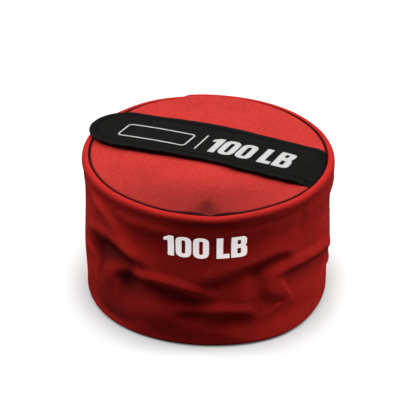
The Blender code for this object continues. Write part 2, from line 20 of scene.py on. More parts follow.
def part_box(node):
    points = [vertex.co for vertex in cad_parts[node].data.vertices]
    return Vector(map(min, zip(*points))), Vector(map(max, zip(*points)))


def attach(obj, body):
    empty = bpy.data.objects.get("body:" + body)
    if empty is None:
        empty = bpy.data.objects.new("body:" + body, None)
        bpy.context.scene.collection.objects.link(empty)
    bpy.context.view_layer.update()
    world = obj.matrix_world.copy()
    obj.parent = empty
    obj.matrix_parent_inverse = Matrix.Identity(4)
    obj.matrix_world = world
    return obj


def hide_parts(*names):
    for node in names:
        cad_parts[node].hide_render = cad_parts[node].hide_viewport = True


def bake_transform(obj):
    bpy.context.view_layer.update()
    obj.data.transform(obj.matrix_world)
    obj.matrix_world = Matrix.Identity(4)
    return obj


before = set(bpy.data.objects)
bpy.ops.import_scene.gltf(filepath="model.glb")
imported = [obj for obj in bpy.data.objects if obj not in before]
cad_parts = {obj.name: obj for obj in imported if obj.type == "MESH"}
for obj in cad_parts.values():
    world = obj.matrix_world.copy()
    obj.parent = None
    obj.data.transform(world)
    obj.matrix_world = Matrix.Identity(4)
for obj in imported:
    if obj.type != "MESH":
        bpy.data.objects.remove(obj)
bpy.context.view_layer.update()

LOG = logging.getLogger("bag")
Array = np.ndarray
Socket = bpy.types.NodeSocket
Sockets = bpy.types.bpy_prop_collection
Item = bpy.types.Object
Colour = tuple[float, float, float]
Stations = tuple[tuple[float, float], ...]

MM = 0.001
GAP = 0.3 * MM
WELD = 0.001 * MM
NO_LENGTH = 1e-15
# Degrees between faces above which an edge is sharp: soft cloth, most parts, crisp and moulded ones
CLOTH_EDGE = 80.0
PART_EDGE = 60.0
CRISP_EDGE = 50.0
MOULDED_EDGE = 40.0
UP = (0.0, 0.0, 1.0)


class Body(Enum):
    """The CAD bodies that pieces ride on."""

    BAG = "bag"
    FLAP = "flap"
    SLIDER = "slider"


# Curves and fields


def ease(share: Array | float) -> Array:
    """A level start and end: 3t² - 2t³, with t held between 0 and 1."""
    held = np.clip(share, 0.0, 1.0)
    return held * held * (3.0 - 2.0 * held)


def bell(distance: Array, width: float) -> Array:
    """A bell curve: e to the power of minus the square of distance over width."""
    return np.exp(-np.square(distance / width))


def through(place: Array, stations: Sequence[tuple[float, float]]) -> Array:
    """A smooth line through stations, level at each of them.

    Args:
        place: Where the line is read.
        stations: Pairs of place and value, from low to high.

    Returns:
        The value at each place: the eased mix of the two stations round it.
    """
    places, values = np.array(stations, dtype=float).T
    before = np.clip(np.searchsorted(places, place, side="right") - 1, 0, len(places) - 2)
    share = ease((place - places[before]) / (places[before + 1] - places[before]))
    return values[before] * (1.0 - share) + values[before + 1] * share


def softened(path: Sequence[tuple[float, float]], rounds: int = 2) -> Array:
    """Cuts a path's corners: each round puts points at a quarter and three quarters of every step.

    Args:
        path: Points of the path.
        rounds: How many times the corners are cut.

    Returns:
        The softer path, with the same two ends.
    """
    points = np.array(path, dtype=float)
    for _ in range(rounds):
        early = 0.75 * points[:-1] + 0.25 * points[1:]
        late = 0.25 * points[:-1] + 0.75 * points[1:]
        inner = np.stack([early, late], axis=1).reshape(-1, points.shape[1])
        points = np.vstack([points[:1], inner, points[-1:]])
    return points


def arc(centre: tuple[float, float], radius: float, start: float, end: float, steps: int) -> Array:
    """Points of an arc: the centre plus the radius times the cosine and sine of evenly spaced angles.

    Args:
        centre: Middle of the arc.
        radius: Its radius.
        start: First angle, in degrees.
        end: Last angle, in degrees.
        steps: Number of steps between them.

    Returns:
        An array of steps + 1 points.
    """
    angles = np.radians(np.linspace(start, end, steps + 1))
    return np.stack([centre[0] + radius * np.cos(angles), centre[1] + radius * np.sin(angles)], axis=1)


def unit(vectors: Array) -> Array:
    """Vectors along the last axis, brought to a length of one."""
    return vectors / np.linalg.norm(vectors, axis=-1, keepdims=True)


def travelled(path: Array) -> Array:
    """Distance covered at each point of a path, from 0 at its start."""
    return np.concatenate([[0.0], np.cumsum(np.linalg.norm(np.diff(path, axis=0), axis=1))])


def read_at(values: Array, covered: Array, wanted: Array) -> Array:
    """Values at wanted distances, by linear steps between those at the covered distances."""
    return np.stack([np.interp(wanted, covered, column) for column in values.T], axis=1)


def spaced(points: Array, count: int) -> Array:
    """Points put at even distances along a path, both its ends included."""
    covered = travelled(points)
    return read_at(points, covered, np.linspace(0.0, covered[-1], count))


def turned(radius: Array, height: Array, angle: Array) -> Array:
    """Points at a radius, height and angle round +Z: (r cos a, r sin a, z)."""
    return np.stack(np.broadcast_arrays(radius * np.cos(angle), radius * np.sin(angle), height), axis=-1)


def even_angles(columns: int) -> Array:
    """Angles of evenly spaced columns round +Z, in radians, from +X."""
    return np.arange(columns) * (math.tau / columns)


def ring_of(angle: Array) -> Array:
    """Points on the unit circle in plan, at given angles."""
    return np.stack([np.cos(angle), np.sin(angle)], axis=-1)


def span(node: str) -> tuple[Vector, Vector, Vector, Vector]:
    """A CAD node's low and high corners, its middle and half its size."""
    low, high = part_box(node)
    return low, high, (low + high) / 2, (high - low) / 2


def normals_of(points: Array, ring: bool) -> Array:
    """Unit normals of a grid: the step down the rows crossed with the step along the columns.

    Args:
        points: The grid, as rows, columns and three coordinates.
        ring: Whether the last column meets the first.

    Returns:
        One normal for each point; a pole takes the mean of the row beside it.
    """
    down = np.gradient(points, axis=0)
    if ring:
        along = np.roll(points, -1, axis=1) - np.roll(points, 1, axis=1)
    else:
        along = np.gradient(points, axis=1)
    normal = np.cross(down, along)
    length = np.linalg.norm(normal, axis=2, keepdims=True)
    normal = normal / np.maximum(length, NO_LENGTH)
    for pole, beside in ((0, 1), (-1, -2)):
        if np.ptp(points[pole], axis=0).max() < WELD:
            normal[pole] = unit(normal[beside].mean(axis=0))
    return normal


# Meshes


class MeshDraft:
    """A mesh in the making, put together from grids of points whose faces have four corners."""

    def __init__(self) -> None:
        """Starts with no points and no faces."""
        self._points: list[Array] = []
        self._wear: list[Array] = []
        self._faces: list[Array] = []
        self._cloth: list[Array] = []
        self._count = 0

    def points(self, grid: Array, wear_and_painted_light: Array | float = 0.0) -> Array:
        """Adds points.

        Args:
            grid: Coordinates, with three numbers on the last axis.
            wear_and_painted_light: Up to 1, how rubbed each point is and how much painted highlight it has;
                below zero, its painted shade.

        Returns:
            The points' numbers, in the grid's own shape.
        """
        shape = grid.shape[:-1]
        number = int(np.prod(shape))
        self._points.append(grid.reshape(-1, 3))
        self._wear.append(np.broadcast_to(wear_and_painted_light, shape).reshape(-1))
        index = self._count + np.arange(number).reshape(shape)
        self._count += number
        return index

    def patch(self, index: Array, cloth: Array | None = None, flip: bool = False) -> None:
        """Adds the faces between the rows and columns of a grid of point numbers.

        Args:
            index: Point numbers; the last two axes are rows and columns.
            cloth: Cloth coordinates of the same points, in metres.
            flip: Whether the faces point the other way.
        """
        order = (0, 3, 2, 1) if flip else (0, 1, 2, 3)
        self._faces.append(_corners(index[..., None])[..., 0][:, order])
        if cloth is None:
            self._cloth.append(np.zeros((len(self._faces[-1]), 4, 2)))
        else:
            self._cloth.append(_corners(cloth)[:, order])

    def tube(self, rings: Array, closed: bool = False, cloth: Array | None = None,
             flip: bool = False) -> "MeshDraft":
        """Adds rings of points joined into a tube.

        Args:
            rings: Points as (..., stations, points round the ring, 3).
            closed: Whether the last station meets the first.
            cloth: Cloth coordinates, one station and one point longer where those close.
            flip: Whether the faces point the other way.

        Returns:
            The draft.
        """
        index = self.points(rings)
        index = np.concatenate([index, index[..., :1]], axis=-1)
        if closed:
            index = np.concatenate([index, index[..., :1, :]], axis=-2)
        self.patch(index, cloth, flip)
        return self

    def slab(self, outline: Array, low: float, high: float, edge: float) -> "MeshDraft":
        """Adds a flat solid with rounded edges between two heights."""
        return self.tube(slab_rings(outline, low, high, edge), flip=True)

    def strip(self, x: Array, y: Array, top: Array, bottom: Array) -> "MeshDraft":
        """Adds a strip that lies flat: a grid in plan between two heights, closed all round."""
        outer, inner = (np.stack([x, y, height], axis=-1) for height in (top, bottom))
        return self.shell(outer, inner, outer[..., :2], False, "tblr", flip=True)

    def skin(self, outer: Array, ply: float, cloth: Array, ring: bool, sides: str, step: int = 1,
             wear_and_painted_light: Array | float = 0.0) -> "MeshDraft":
        """Adds a shell whose inner face lies one ply behind the outer one, along the normals."""
        return self.shell(outer, outer - ply * normals_of(outer, ring), cloth, ring, sides, step, wear_and_painted_light)

    def shell(self, outer: Array, inner: Array, cloth: Array, ring: bool, sides: str = "", step: int = 1,
              wear_and_painted_light: Array | float = 0.0, flip: bool = False) -> "MeshDraft":
        """Adds a skin with two faces, closed where it ends.

        Args:
            outer: Grid of the outer face.
            inner: Grid of the inner face, with the same rows and columns.
            cloth: Cloth coordinates of the outer face, one column wider on a ring.
            ring: Whether the last column meets the first.
            sides: Which edges are closed: t, b, l, r for the first and last row and column.
            step: Rows of the inner face that are taken, such as every second.
            wear_and_painted_light: Up to 1, how rubbed each outer point is and how much painted highlight
                it has; below zero, its painted shade.
            flip: Whether the faces point the other way.

        Returns:
            The draft.
        """
        kept = np.unique(np.append(np.arange(0, len(inner), step), len(inner) - 1))
        out = self.points(outer, wear_and_painted_light)
        into = self.points(inner[kept])
        if ring:
            out = np.concatenate([out, out[:, :1]], axis=1)
            into = np.concatenate([into, into[:, :1]], axis=1)
        self.patch(out, cloth, flip)
        self.patch(into, cloth[kept], not flip)
        edges = {
            "t": (into[0], out[0], cloth[0]),
            "b": (out[-1], into[-1], cloth[-1]),
            "l": (out[:, 0], into[:, 0], cloth[:, 0]),
            "r": (into[:, -1], out[:, -1], cloth[:, -1]),
        }
        for side in sides:
            first, second, line = edges[side]
            self.patch(np.stack([first, second]), np.stack([line, line]), flip)
        return self

    def build(self, name: str, sharp: float = PART_EDGE) -> Item:
        """Makes the object.

        Args:
            name: Name of the piece.
            sharp: Angle between faces, in degrees, past which an edge stays sharp.

        Returns:
            The object, at the origin, with its place in its mesh.
        """
        points = np.concatenate(self._points).astype(np.float32)
        faces = np.concatenate(self._faces).astype(np.int32)
        mesh = bpy.data.meshes.new(name)
        mesh.vertices.add(len(points))
        mesh.vertices.foreach_set("co", points.ravel())
        mesh.loops.add(faces.size)
        mesh.loops.foreach_set("vertex_index", faces.ravel())
        mesh.polygons.add(len(faces))
        mesh.polygons.foreach_set("loop_start", np.arange(0, faces.size, 4, dtype=np.int32))
        mesh.update(calc_edges=True)
        layer = mesh.uv_layers.new(name="cloth")
        layer.data.foreach_set("uv", np.concatenate(self._cloth).astype(np.float32).ravel())
        worn_and_painted_highlight = mesh.attributes.new("wear_and_painted_light", "FLOAT", "POINT")
        worn_and_painted_highlight.data.foreach_set("value", np.concatenate(self._wear).astype(np.float32))
        return finished(name, mesh, sharp)


def _corners(grid: Array) -> Array:
    """The four corners of every cell of a grid, down the first column and back up the second.

    Args:
        grid: Values whose last three axes are rows, columns and coordinates.

    Returns:
        An array of cells, four corners and coordinates.
    """
    cells = [grid[..., :-1, :-1, :], grid[..., 1:, :-1, :], grid[..., 1:, 1:, :], grid[..., :-1, 1:, :]]
    return np.stack(cells, axis=-2).reshape(-1, 4, grid.shape[-1])


def finished(name: str, mesh: bpy.types.Mesh, sharp: float) -> Item:
    """Welds a mesh's doubled points, drops what has no area, shades it and links it.

    Args:
        name: Name of the piece.
        mesh: Its mesh.
        sharp: Angle between faces, in degrees, past which an edge stays sharp.

    Returns:
        The new object.
    """
    work = bmesh.new()
    work.from_mesh(mesh)
    bmesh.ops.remove_doubles(work, verts=work.verts, dist=WELD)
    bmesh.ops.dissolve_degenerate(work, edges=work.edges, dist=WELD)
    work.to_mesh(mesh)
    work.free()
    mesh.polygons.foreach_set("use_smooth", np.ones(len(mesh.polygons), dtype=bool))
    mesh.set_sharp_from_angle(angle=math.radians(sharp))
    item = bpy.data.objects.new(name, mesh)
    bpy.context.scene.collection.objects.link(item)
    return item


def cloth_grid(rows: Array, columns: Array) -> Array:
    """Cloth coordinates of a grid: distance along the columns, then along the rows."""
    across, down = np.meshgrid(columns, rows)
    return np.stack([across, down], axis=-1)


def tube_rings(path: Array, radius: Array | float, reference: tuple[float, float, float],
               sides: int) -> Array:
    """Rings of points round a path: the path plus the radius times a circle across it.

    Args:
        path: Points of the path.
        radius: Radius at each point, or one for all.
        reference: A direction that the path never takes; the circle's first axis is square to it.
        sides: Points round each ring.

    Returns:
        The rings, as stations, points and coordinates.
    """
    tangent = unit(np.gradient(path, axis=0))
    side = unit(np.cross(tangent, np.array(reference)))
    circle = circle_across(side, np.cross(side, tangent), sides)
    return path[:, None] + np.reshape(radius, (-1, 1, 1)) * circle


def round_cloth(profile: Array, angle: Array, radius: float) -> Array:
    """Cloth coordinates of a profile turned round +Z: down the profile, and round at a radius."""
    return cloth_grid(travelled(profile), np.append(angle, math.tau) * radius)


def circle_across(side: Array, up: Array, sides: int) -> Array:
    """Points round a circle whose two axes are given for each station."""
    angle = even_angles(sides)[None, :, None]
    return side[:, None] * np.cos(angle) + up[:, None] * np.sin(angle)


def round_ends(count: int, ends: int = 3) -> Array:
    """Scale of a tube's rings: a quarter circle up from 0 at each end, and 1 between."""
    place = np.minimum(np.arange(count), np.arange(count)[::-1]) / ends
    return np.sqrt(1.0 - np.square(1.0 - np.clip(place, 0.0, 1.0)))


def slab_rings(outline: Array, low: float, high: float, edge: float, steps: int = 3) -> Array:
    """Rings of a flat solid with rounded edges, closed by a pole in the middle of each face.

    Each ring is the outline drawn in towards its middle: a quarter circle of that inset goes with a
    quarter circle of height at the lower edge and at the upper one.

    Args:
        outline: Plan of the solid, counter-clockwise, seen whole from its middle.
        low: Height of its lower face.
        high: Height of its upper face.
        edge: Radius of its edges.
        steps: Steps in each quarter circle.

    Returns:
        The rings, from the lower pole to the upper one.
    """
    middle = outline.mean(axis=0)
    out = outline - middle
    reach = np.linalg.norm(out, axis=1, keepdims=True)
    turn = np.linspace(0.0, math.pi / 2, steps + 1)
    insets = np.concatenate([edge * (1.0 - np.sin(turn)), edge * (1.0 - np.cos(turn))])
    heights = np.concatenate([low + edge * (1.0 - np.cos(turn)), high - edge * (1.0 - np.sin(turn))])
    scale = 1.0 - insets[:, None, None] / reach
    scale = np.concatenate([np.zeros_like(scale[:1]), scale, np.zeros_like(scale[:1])])
    heights = np.concatenate([[low], heights, [high]])
    plan = middle + out * scale
    lift = np.broadcast_to(heights[:, None, None], (*plan.shape[:2], 1))
    return np.concatenate([plan, lift], axis=2)


def rounded_outline(half_x: float, half_y: float, corner: float, steps: int = 5) -> Array:
    """Outline of a rectangle with round corners about the origin, counter-clockwise.

    Args:
        half_x: Half of its length.
        half_y: Half of its width.
        corner: Radius of its corners.
        steps: Steps round each corner.

    Returns:
        The points, two coordinates each.
    """
    corners = (((1, 1), 0), ((-1, 1), 90), ((-1, -1), 180), ((1, -1), 270))
    arcs = [
        arc((x * (half_x - corner), y * (half_y - corner)), corner, start, start + 90, steps)
        for (x, y), start in corners
    ]
    return np.vstack(arcs)


# The bag's form


@dataclass(frozen=True)
class Fold:
    """A wrinkle in the side, in millimetres: a rise to a crest along a path and a drop to its right."""

    crest: float
    above: float
    """Length over which the cloth rises to the crest."""
    depth: float
    drop: float
    """Length of the drop past the crest."""
    reach: float
    """Length over which the hollow fills up again."""
    path: Stations
    """Degrees round from the front, to the right, and height in metres."""

    def section(self, signed: Array) -> Array:
        """Relief across the fold: eased up to the crest, down into the hollow and back to nothing.

        Args:
            signed: Distance from the path in metres, below zero where the cloth rises.

        Returns:
            How far the cloth stands out, in metres.
        """
        sizes = (self.crest, self.above, self.depth, self.drop, self.reach)
        crest, above, depth, drop, reach = (size * MM for size in sizes)
        fallen = ease(signed / drop)
        hollow = depth * fallen * (1.0 - ease((signed - drop) / reach))
        return crest * np.where(signed < 0.0, 1.0 - ease(-signed / above), 1.0 - fallen) - hollow


@dataclass(frozen=True)
class Swell:
    """An amount that fades out round the bag as a bell about a turn, in degrees."""

    amount: float
    turn: float
    half_turn: float

    def at(self, turn: Array) -> Array:
        """The amount at turns from the photograph's front."""
        return self.amount * bell(turn - self.turn, self.half_turn)


@dataclass(frozen=True)
class Spot:
    """An amount that fades out round an oval of the side."""

    turn: float
    height: float
    half_turn: float
    half_height: float
    amount: float

    def at(self, turn: Array, height: Array) -> Array:
        """The amount at turns from the photograph's front and heights."""
        across = bell(turn - self.turn, self.half_turn)
        return self.amount * across * bell(height - self.height, self.half_height)


@dataclass(frozen=True)
class Ripples:
    """Low waves that repeat round the bag: a sum of sines with seeded sizes, counts and phases."""

    seed: int
    height: float
    most_round: int
    most_up: float
    count: int = 14

    def at(self, angle: Array, height: Array) -> Array:
        """The waves at an angle round the bag, in radians, and a height in metres.

        Args:
            angle: Angle round the bag, in radians.
            height: Height in metres.

        Returns:
            The waves' height.
        """
        chance = np.random.default_rng(self.seed)
        total = np.zeros(np.broadcast(angle, height).shape)
        for _ in range(self.count):
            turns = chance.integers(2, self.most_round)
            rise = chance.uniform(-self.most_up, self.most_up)
            phase = chance.uniform(0.0, math.tau)
            total = total + np.sin(turns * angle + rise * height + phase)
        return total * self.height / math.sqrt(self.count)


FRONT_FOLDS = (
    Fold(7.5, 34, 3.0, 12, 34, (
        (-29, 0.130), (-33, 0.146), (-38, 0.158), (-43, 0.173), (-48, 0.190), (-56, 0.206), (-66, 0.218))),
    Fold(2.4, 14, 17.0, 34, 56, (
        (-76, 0.138), (-64, 0.152), (-54, 0.160), (-44, 0.162), (-35, 0.153), (-24, 0.126))),
    Fold(4.5, 15, 11.0, 23, 54, (
        (-57, 0.096), (-47, 0.106), (-37, 0.113), (-27, 0.118), (-17, 0.117), (-8, 0.111), (1, 0.100),
        (8, 0.088))),
    Fold(4.0, 16, 3.5, 17, 28, ((-18, 0.062), (-7, 0.069), (4, 0.070), (14, 0.067), (24, 0.057))),
    Fold(2.4, 26, 5.0, 26, 40, ((-10, 0.118), (4, 0.136), (15, 0.148), (26, 0.158), (40, 0.171))),
    Fold(1.2, 14, 5.0, 20, 22, ((14, 0.138), (21, 0.150), (29, 0.157), (37, 0.157), (46, 0.148))),
    Fold(4.5, 18, 8.0, 22, 56, (
        (29, 0.103), (33, 0.118), (38, 0.125), (46, 0.125), (55, 0.121), (65, 0.114), (74, 0.104),
        (86, 0.086))),
    Fold(1.0, 34, 3.0, 22, 30, (
        (32, 0.124), (29, 0.108), (29, 0.094), (33, 0.083), (40, 0.069), (39, 0.052))),
    Fold(2.4, 9, 3.5, 12, 16, ((58, 0.128), (62, 0.148), (68, 0.158), (76, 0.159), (86, 0.146))),
    Fold(2.6, 10, 3.5, 12, 20, (
        (55, -0.004), (60, 0.018), (63, 0.036), (69, 0.052), (78, 0.060), (92, 0.058))),
    Fold(1.2, 10, 3.5, 10, 14, ((-59, 0.050), (-62, 0.069), (-63, 0.082), (-69, 0.096), (-82, 0.102))),
    Fold(1.2, 12, 1.0, 12, 20, ((-52, 0.102), (-47, 0.082), (-44, 0.056))),
    Fold(1.0, 18, 1.2, 16, 22, ((49, 0.234), (53, 0.205), (50, 0.164))),
)
FRONT_DENTS = (
    Spot(-70, 0.080, 5, 0.014, 3 * MM),
    Spot(-50, 0.030, 18, 0.022, 3 * MM),
    Spot(0, 0.226, 10, 0.016, 1.0 * MM),
    Spot(0, 0.122, 52, 0.045, -2.5 * MM),
)
SHOULDER_BULGES = (Spot(80, 0.206, 18, 0.022, 3.6 * MM), Spot(-29, 0.208, 19, 0.015, 3.4 * MM))
FOOT_BULGES = (Swell(9.5 * MM, 36, 24), Swell(3.6 * MM, -50, 24))
TOP_WAVES = ((41.0, 23.0, 1.0), (-29.0, 52.0, 2.4), (67.0, -17.0, 0.0))


@dataclass(frozen=True)
class BagForm:
    """Outer shape of the filled bag: its wall, rim, top and base."""

    rim_radius: float
    rim_height: float
    seam_radius: float
    panel_height: float
    base_seam_radius: float
    view_turn: float = 22.47
    """Degrees from the bag's own front to the photograph's front, to the right."""
    base_inset: float = 4.6 * MM
    belly_inset: float = 2.2 * MM
    waist_inset: float = 5.0 * MM
    belly_share: float = 0.34
    waist_share: float = 0.76
    neck_inset: float = 2.6 * MM
    neck_share: float = 0.888
    inner_arch: float = 4.0 * MM
    allowance: float = 10.0 * MM
    base_bend: float = 6.0 * MM
    base_inner_bend: float = 3.0 * MM
    crown_rise: float = 2.0 * MM
    crown_fall: float = 6.6 * MM
    crown_power: float = 3.0
    shoulder_bend: float = 6.0 * MM
    zip_line: float = 13.5 * MM
    fold_reach_turn: float = 100.0
    fold_end_share: float = 0.22
    fold_top: float = 236.0 * MM
    fold_top_fade: float = 12.0 * MM
    fold_foot: float = 5.0 * MM
    fold_foot_fade: float = 16.0 * MM
    foot_bulge_top: float = 45.0 * MM
    back_fold_turn: float = 180.0
    back_fold_share: float = 0.8
    back_seam_turn: float = 167.0
    """Degrees from the photograph's front to the upright seam at the back, to the left."""
    pinch: Swell = Swell(2.6 * MM, 3.0, 9.0)
    tuck_depth: float = 2.6 * MM
    tuck_run: float = 22.0
    tuck_start: float = 4.0
    back_rise: Swell = Swell(1.2 * MM, -148.0, 26.0)
    front_sink: Swell = Swell(1.4 * MM, 0.0, 85.0)
    draw_foot: float = 150.0 * MM
    """Height from which the wall follows the rim."""
    draw_lean: float = 0.35
    dimple_turn: float = 0.5
    dimple_radius: float = 180.0 * MM
    dimple_depth: float = 5.0 * MM
    dimple_puff: float = 2.4 * MM
    top_puff: float = 0.75 * MM
    ripples: Ripples = Ripples(7, 0.7 * MM, 17, 60.0)
    rim_ripples: Ripples = Ripples(21, 0.45 * MM, 15, 0.0, 9)

    @classmethod
    def of_frame(cls) -> "BagForm":
        """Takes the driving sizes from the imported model."""
        side, top, base = (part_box(node)[1] for node in ("side_panel", "top_panel", "bottom_panel"))
        return cls(side.x, side.z, top.x + GAP / 2, top.z, base.x + GAP / 2)

    @property
    def outer_arch(self) -> float:
        """Radius of the rim's outer half."""
        return self.rim_radius - self.seam_radius - GAP / 2 - self.inner_arch

    @property
    def wall_top(self) -> float:
        """Height where the wall meets the rim's roll."""
        return self.rim_height - self.outer_arch

    @property
    def allowance_end(self) -> float:
        """Height of the cut edges of the rim seam."""
        return self.rim_height - self.inner_arch - self.allowance

    @property
    def crown_end(self) -> float:
        """Radius where the top bends down into its seam."""
        return self.seam_radius - GAP / 2 - self.shoulder_bend

    def turn_of(self, angle: Array) -> Array:
        """Degrees from the photograph's front, to the right, of an angle round +Z in radians."""
        return np.mod(np.degrees(angle) + 90.0 - self.view_turn + 180.0, 360.0) - 180.0

    def angle_of(self, turn: Array | float) -> Array:
        """The angle round +Z, in radians, of degrees from the photograph's front."""
        return np.radians(np.asarray(turn, dtype=float) + self.view_turn - 90.0)

    def wall_radius(self, height: Array) -> Array:
        """The smooth wall's radius: level at base, belly, waist, neck and rim, with eased steps.

        Args:
            height: Heights on the wall.

        Returns:
            The radius at each height.
        """
        levels = ((self.belly_share, self.belly_inset), (self.waist_share, self.waist_inset),
                  (self.neck_share, self.neck_inset))
        between = [(self.rim_height * share, inset) for share, inset in levels]
        insets = [(self.base_bend, self.base_inset), *between, (self.wall_top, 0.0)]
        return through(height, [(place, self.rim_radius - inset) for place, inset in insets])

    def _fold(self, fold: Fold, along: Array, height: Array) -> Array:
        """One fold's relief, by signed distance from its path, fading out towards both of the path's ends.

        Args:
            fold: The fold.
            along: Distance round the wall from the front.
            height: Height up the wall.

        Returns:
            How far the wall moves out.
        """
        scale = (math.radians(1.0) * self.rim_radius, 1.0)
        path = softened(fold.path) * scale
        covered = travelled(path)
        nearest = np.full(along.shape, np.inf)
        share = np.zeros(along.shape)
        signed = np.zeros(along.shape)
        for start, step, length, before in zip(path, np.diff(path, axis=0), np.diff(covered), covered):
            across, up = along - start[0], height - start[1]
            part = np.clip((across * step[0] + up * step[1]) / length**2, 0.0, 1.0)
            distance = np.hypot(across - part * step[0], up - part * step[1])
            closer = distance < nearest
            nearest = np.where(closer, distance, nearest)
            share = np.where(closer, (before + part * length) / covered[-1], share)
            right = np.sign(across * step[1] - up * step[0])
            signed = np.where(closer, right * distance, signed)
        taper = ease(np.minimum(share, 1.0 - share) / self.fold_end_share)
        return taper * fold.section(signed)

    def _front_relief(self, turn: Array, height: Array) -> Array:
        """Folds and dents of the side that the photograph shows.

        Args:
            turn: Degrees from the photograph's front.
            height: Heights.

        Returns:
            How far the cloth stands out, in metres.
        """
        along = np.radians(turn) * self.rim_radius
        total = np.zeros(along.shape)
        near = np.abs(turn) < self.fold_reach_turn
        for fold in FRONT_FOLDS:
            total[near] += self._fold(fold, along[near], height[near])
        for dent in FRONT_DENTS:
            total -= dent.at(turn, height)
        return total

    def relief(self, angle: Array, height: Array) -> Array:
        """How far the cloth of the wall stands out from the smooth wall.

        The front's folds are repeated at the back, less deep. Both fade out at the rim and base.

        Args:
            angle: Angle round +Z, in radians.
            height: Height, in metres.

        Returns:
            The distance outward, in metres.
        """
        angle, height = np.broadcast_arrays(angle, height)
        turn = self.turn_of(angle)
        behind = np.mod(turn - self.back_fold_turn + 180.0, 360.0) - 180.0
        folds = self._front_relief(turn, height) + self.back_fold_share * self._front_relief(behind, height)
        fade = ease((self.fold_top - height) / self.fold_top_fade)
        fade = fade * ease((height - self.fold_foot) / self.fold_foot_fade)
        seam = turn + self.back_seam_turn
        groove = 1.4 * MM * bell(seam, 0.8) + 0.8 * MM * bell(seam, 5.0)
        spread = sum(bulge.at(turn) for bulge in FOOT_BULGES)
        bulge = spread * ease((self.foot_bulge_top - height) / self.foot_bulge_top)
        for shoulder in SHOULDER_BULGES:
            bulge = bulge + shoulder.at(turn, height)
        return (folds + self.ripples.at(angle, height) - groove) * fade + bulge

    def rim_shift(self, angle: Array) -> Array:
        """How far the rim and the top's edge sit up or down: pinched at the front, tucked at the seam.

        Args:
            angle: Angles round the bag, in radians.

        Returns:
            The shift up, in metres.
        """
        turn = self.turn_of(angle)
        behind = np.mod(turn + self.back_seam_turn, 360.0)
        start = ease((behind - 360.0 + self.tuck_start) / self.tuck_start)
        tuck = self.tuck_depth * (np.exp(-behind / self.tuck_run) + start)
        lean = 1.0 * MM * np.cos(np.radians(turn + 140.0)) + self.back_rise.at(turn)
        return self.rim_ripples.at(angle, 0.0) + lean - self.pinch.at(turn) - tuck

    def behind(self, angle: Array, width: float) -> Array:
        """A bell round the bag about the photograph's back, by degrees."""
        return bell(np.abs(self.turn_of(angle)) - 180.0, width)

    def rim_sink(self, angle: Array) -> Array:
        """How far the rim alone sits down, so that its seam shows at the front and hides at the back."""
        return self.front_sink.at(self.turn_of(angle)) + 1.2 * MM * self.behind(angle, 50.0)

    def top_height(self, x: Array, y: Array) -> Array:
        """Outer height of the top: a dome with soft puffs, a front dimple and a dip under the flap's root.

        Args:
            x: Place along the flap.
            y: Place across it.

        Returns:
            The height of the cloth, in metres.
        """
        radius = np.hypot(x, y)
        past = np.clip((radius - self.crown_end) / self.shoulder_bend, 0.0, 1.0)
        shoulder = self.shoulder_bend * (1.0 - np.sqrt(1.0 - past**2))
        from_zip = np.abs(y - self.zip_line)
        clear = ease((from_zip - 0.060) / 0.030) * ease((0.185 - radius) / 0.030)
        puff = self.top_puff * clear * sum(np.sin(a * x + b * y + phase) for a, b, phase in TOP_WAVES)
        press = 1.6 * MM * ease((x - 0.168) / 0.018) * ease((0.068 - np.abs(y - 0.0155)) / 0.014)
        rise = ease((from_zip - 0.058) / 0.014) * ease((radius - 0.135) / 0.040)
        push = 3.0 * MM * self.behind(np.arctan2(y, x), 40.0) * rise
        shift = ease((radius - 0.135) / 0.045) * self.rim_shift(np.arctan2(y, x))
        dome = self.panel_height + self.settle(x, y) - shoulder
        return dome + puff - self.dimple(x, y) - press + push + shift

    def dimple(self, x: Array, y: Array) -> Array:
        """Depth of the dimple in the top's front edge, with a puff on each side of it.

        Args:
            x: Places along X.
            y: Places along Y.

        Returns:
            The depth, negative in the puffs.
        """
        across, outward = self.from_dimple(x, y)
        beside = bell(across - 0.026, 0.015) + bell(across + 0.026, 0.015)
        hollow = self.dimple_depth * bell(across, 0.008) * bell(outward + 0.008, 0.019)
        return hollow - self.dimple_puff * beside * bell(outward + 0.006, 0.018)

    def from_dimple(self, x: Array, y: Array) -> tuple[Array, Array]:
        """Distance to the left of the dimple in the top's front edge, and outward from it."""
        out_x, out_y = ring_of(self.angle_of(self.dimple_turn))
        away_x, away_y = x - self.dimple_radius * out_x, y - self.dimple_radius * out_y
        return away_y * out_x - away_x * out_y, away_x * out_x + away_y * out_y

    def settle(self, x: Array, y: Array) -> Array:
        """How far the dome lies from its CAD height: it falls with a power of the radius."""
        share = np.minimum(np.hypot(x, y) / self.crown_end, 1.0)
        return self.crown_rise - self.crown_fall * share**self.crown_power

    def side_point(self, turn: Array, height: Array, lift: float = 0.0) -> Array:
        """Points of the wall by degrees from the photograph's front and height, lifted off it.

        Args:
            turn: Degrees from the photograph's front.
            height: Heights.
            lift: Distance outward from the wall.

        Returns:
            The points, as an array with a last axis of three.
        """
        angle = self.angle_of(turn)
        lean, shift = self.drawn(angle)
        share = self.draw_share(height)
        radius = self.wall_radius(height) + self.relief(angle, height) + lean * share + lift
        return turned(radius, height + shift * share, angle)

    def draw_share(self, height: Array) -> Array:
        """How much of the rim's own lean and shift the wall takes at a height."""
        return ease((height - self.draw_foot) / (self.wall_top - self.draw_foot))

    def drawn(self, angle: Array) -> tuple[Array, Array]:
        """How far the rim's cloth leans out, and how far it sits up."""
        lean = self.draw_lean * self.rim_ripples.at(angle + 0.7, 0.0)
        return lean, self.rim_shift(angle) - self.rim_sink(angle)


# Finishes


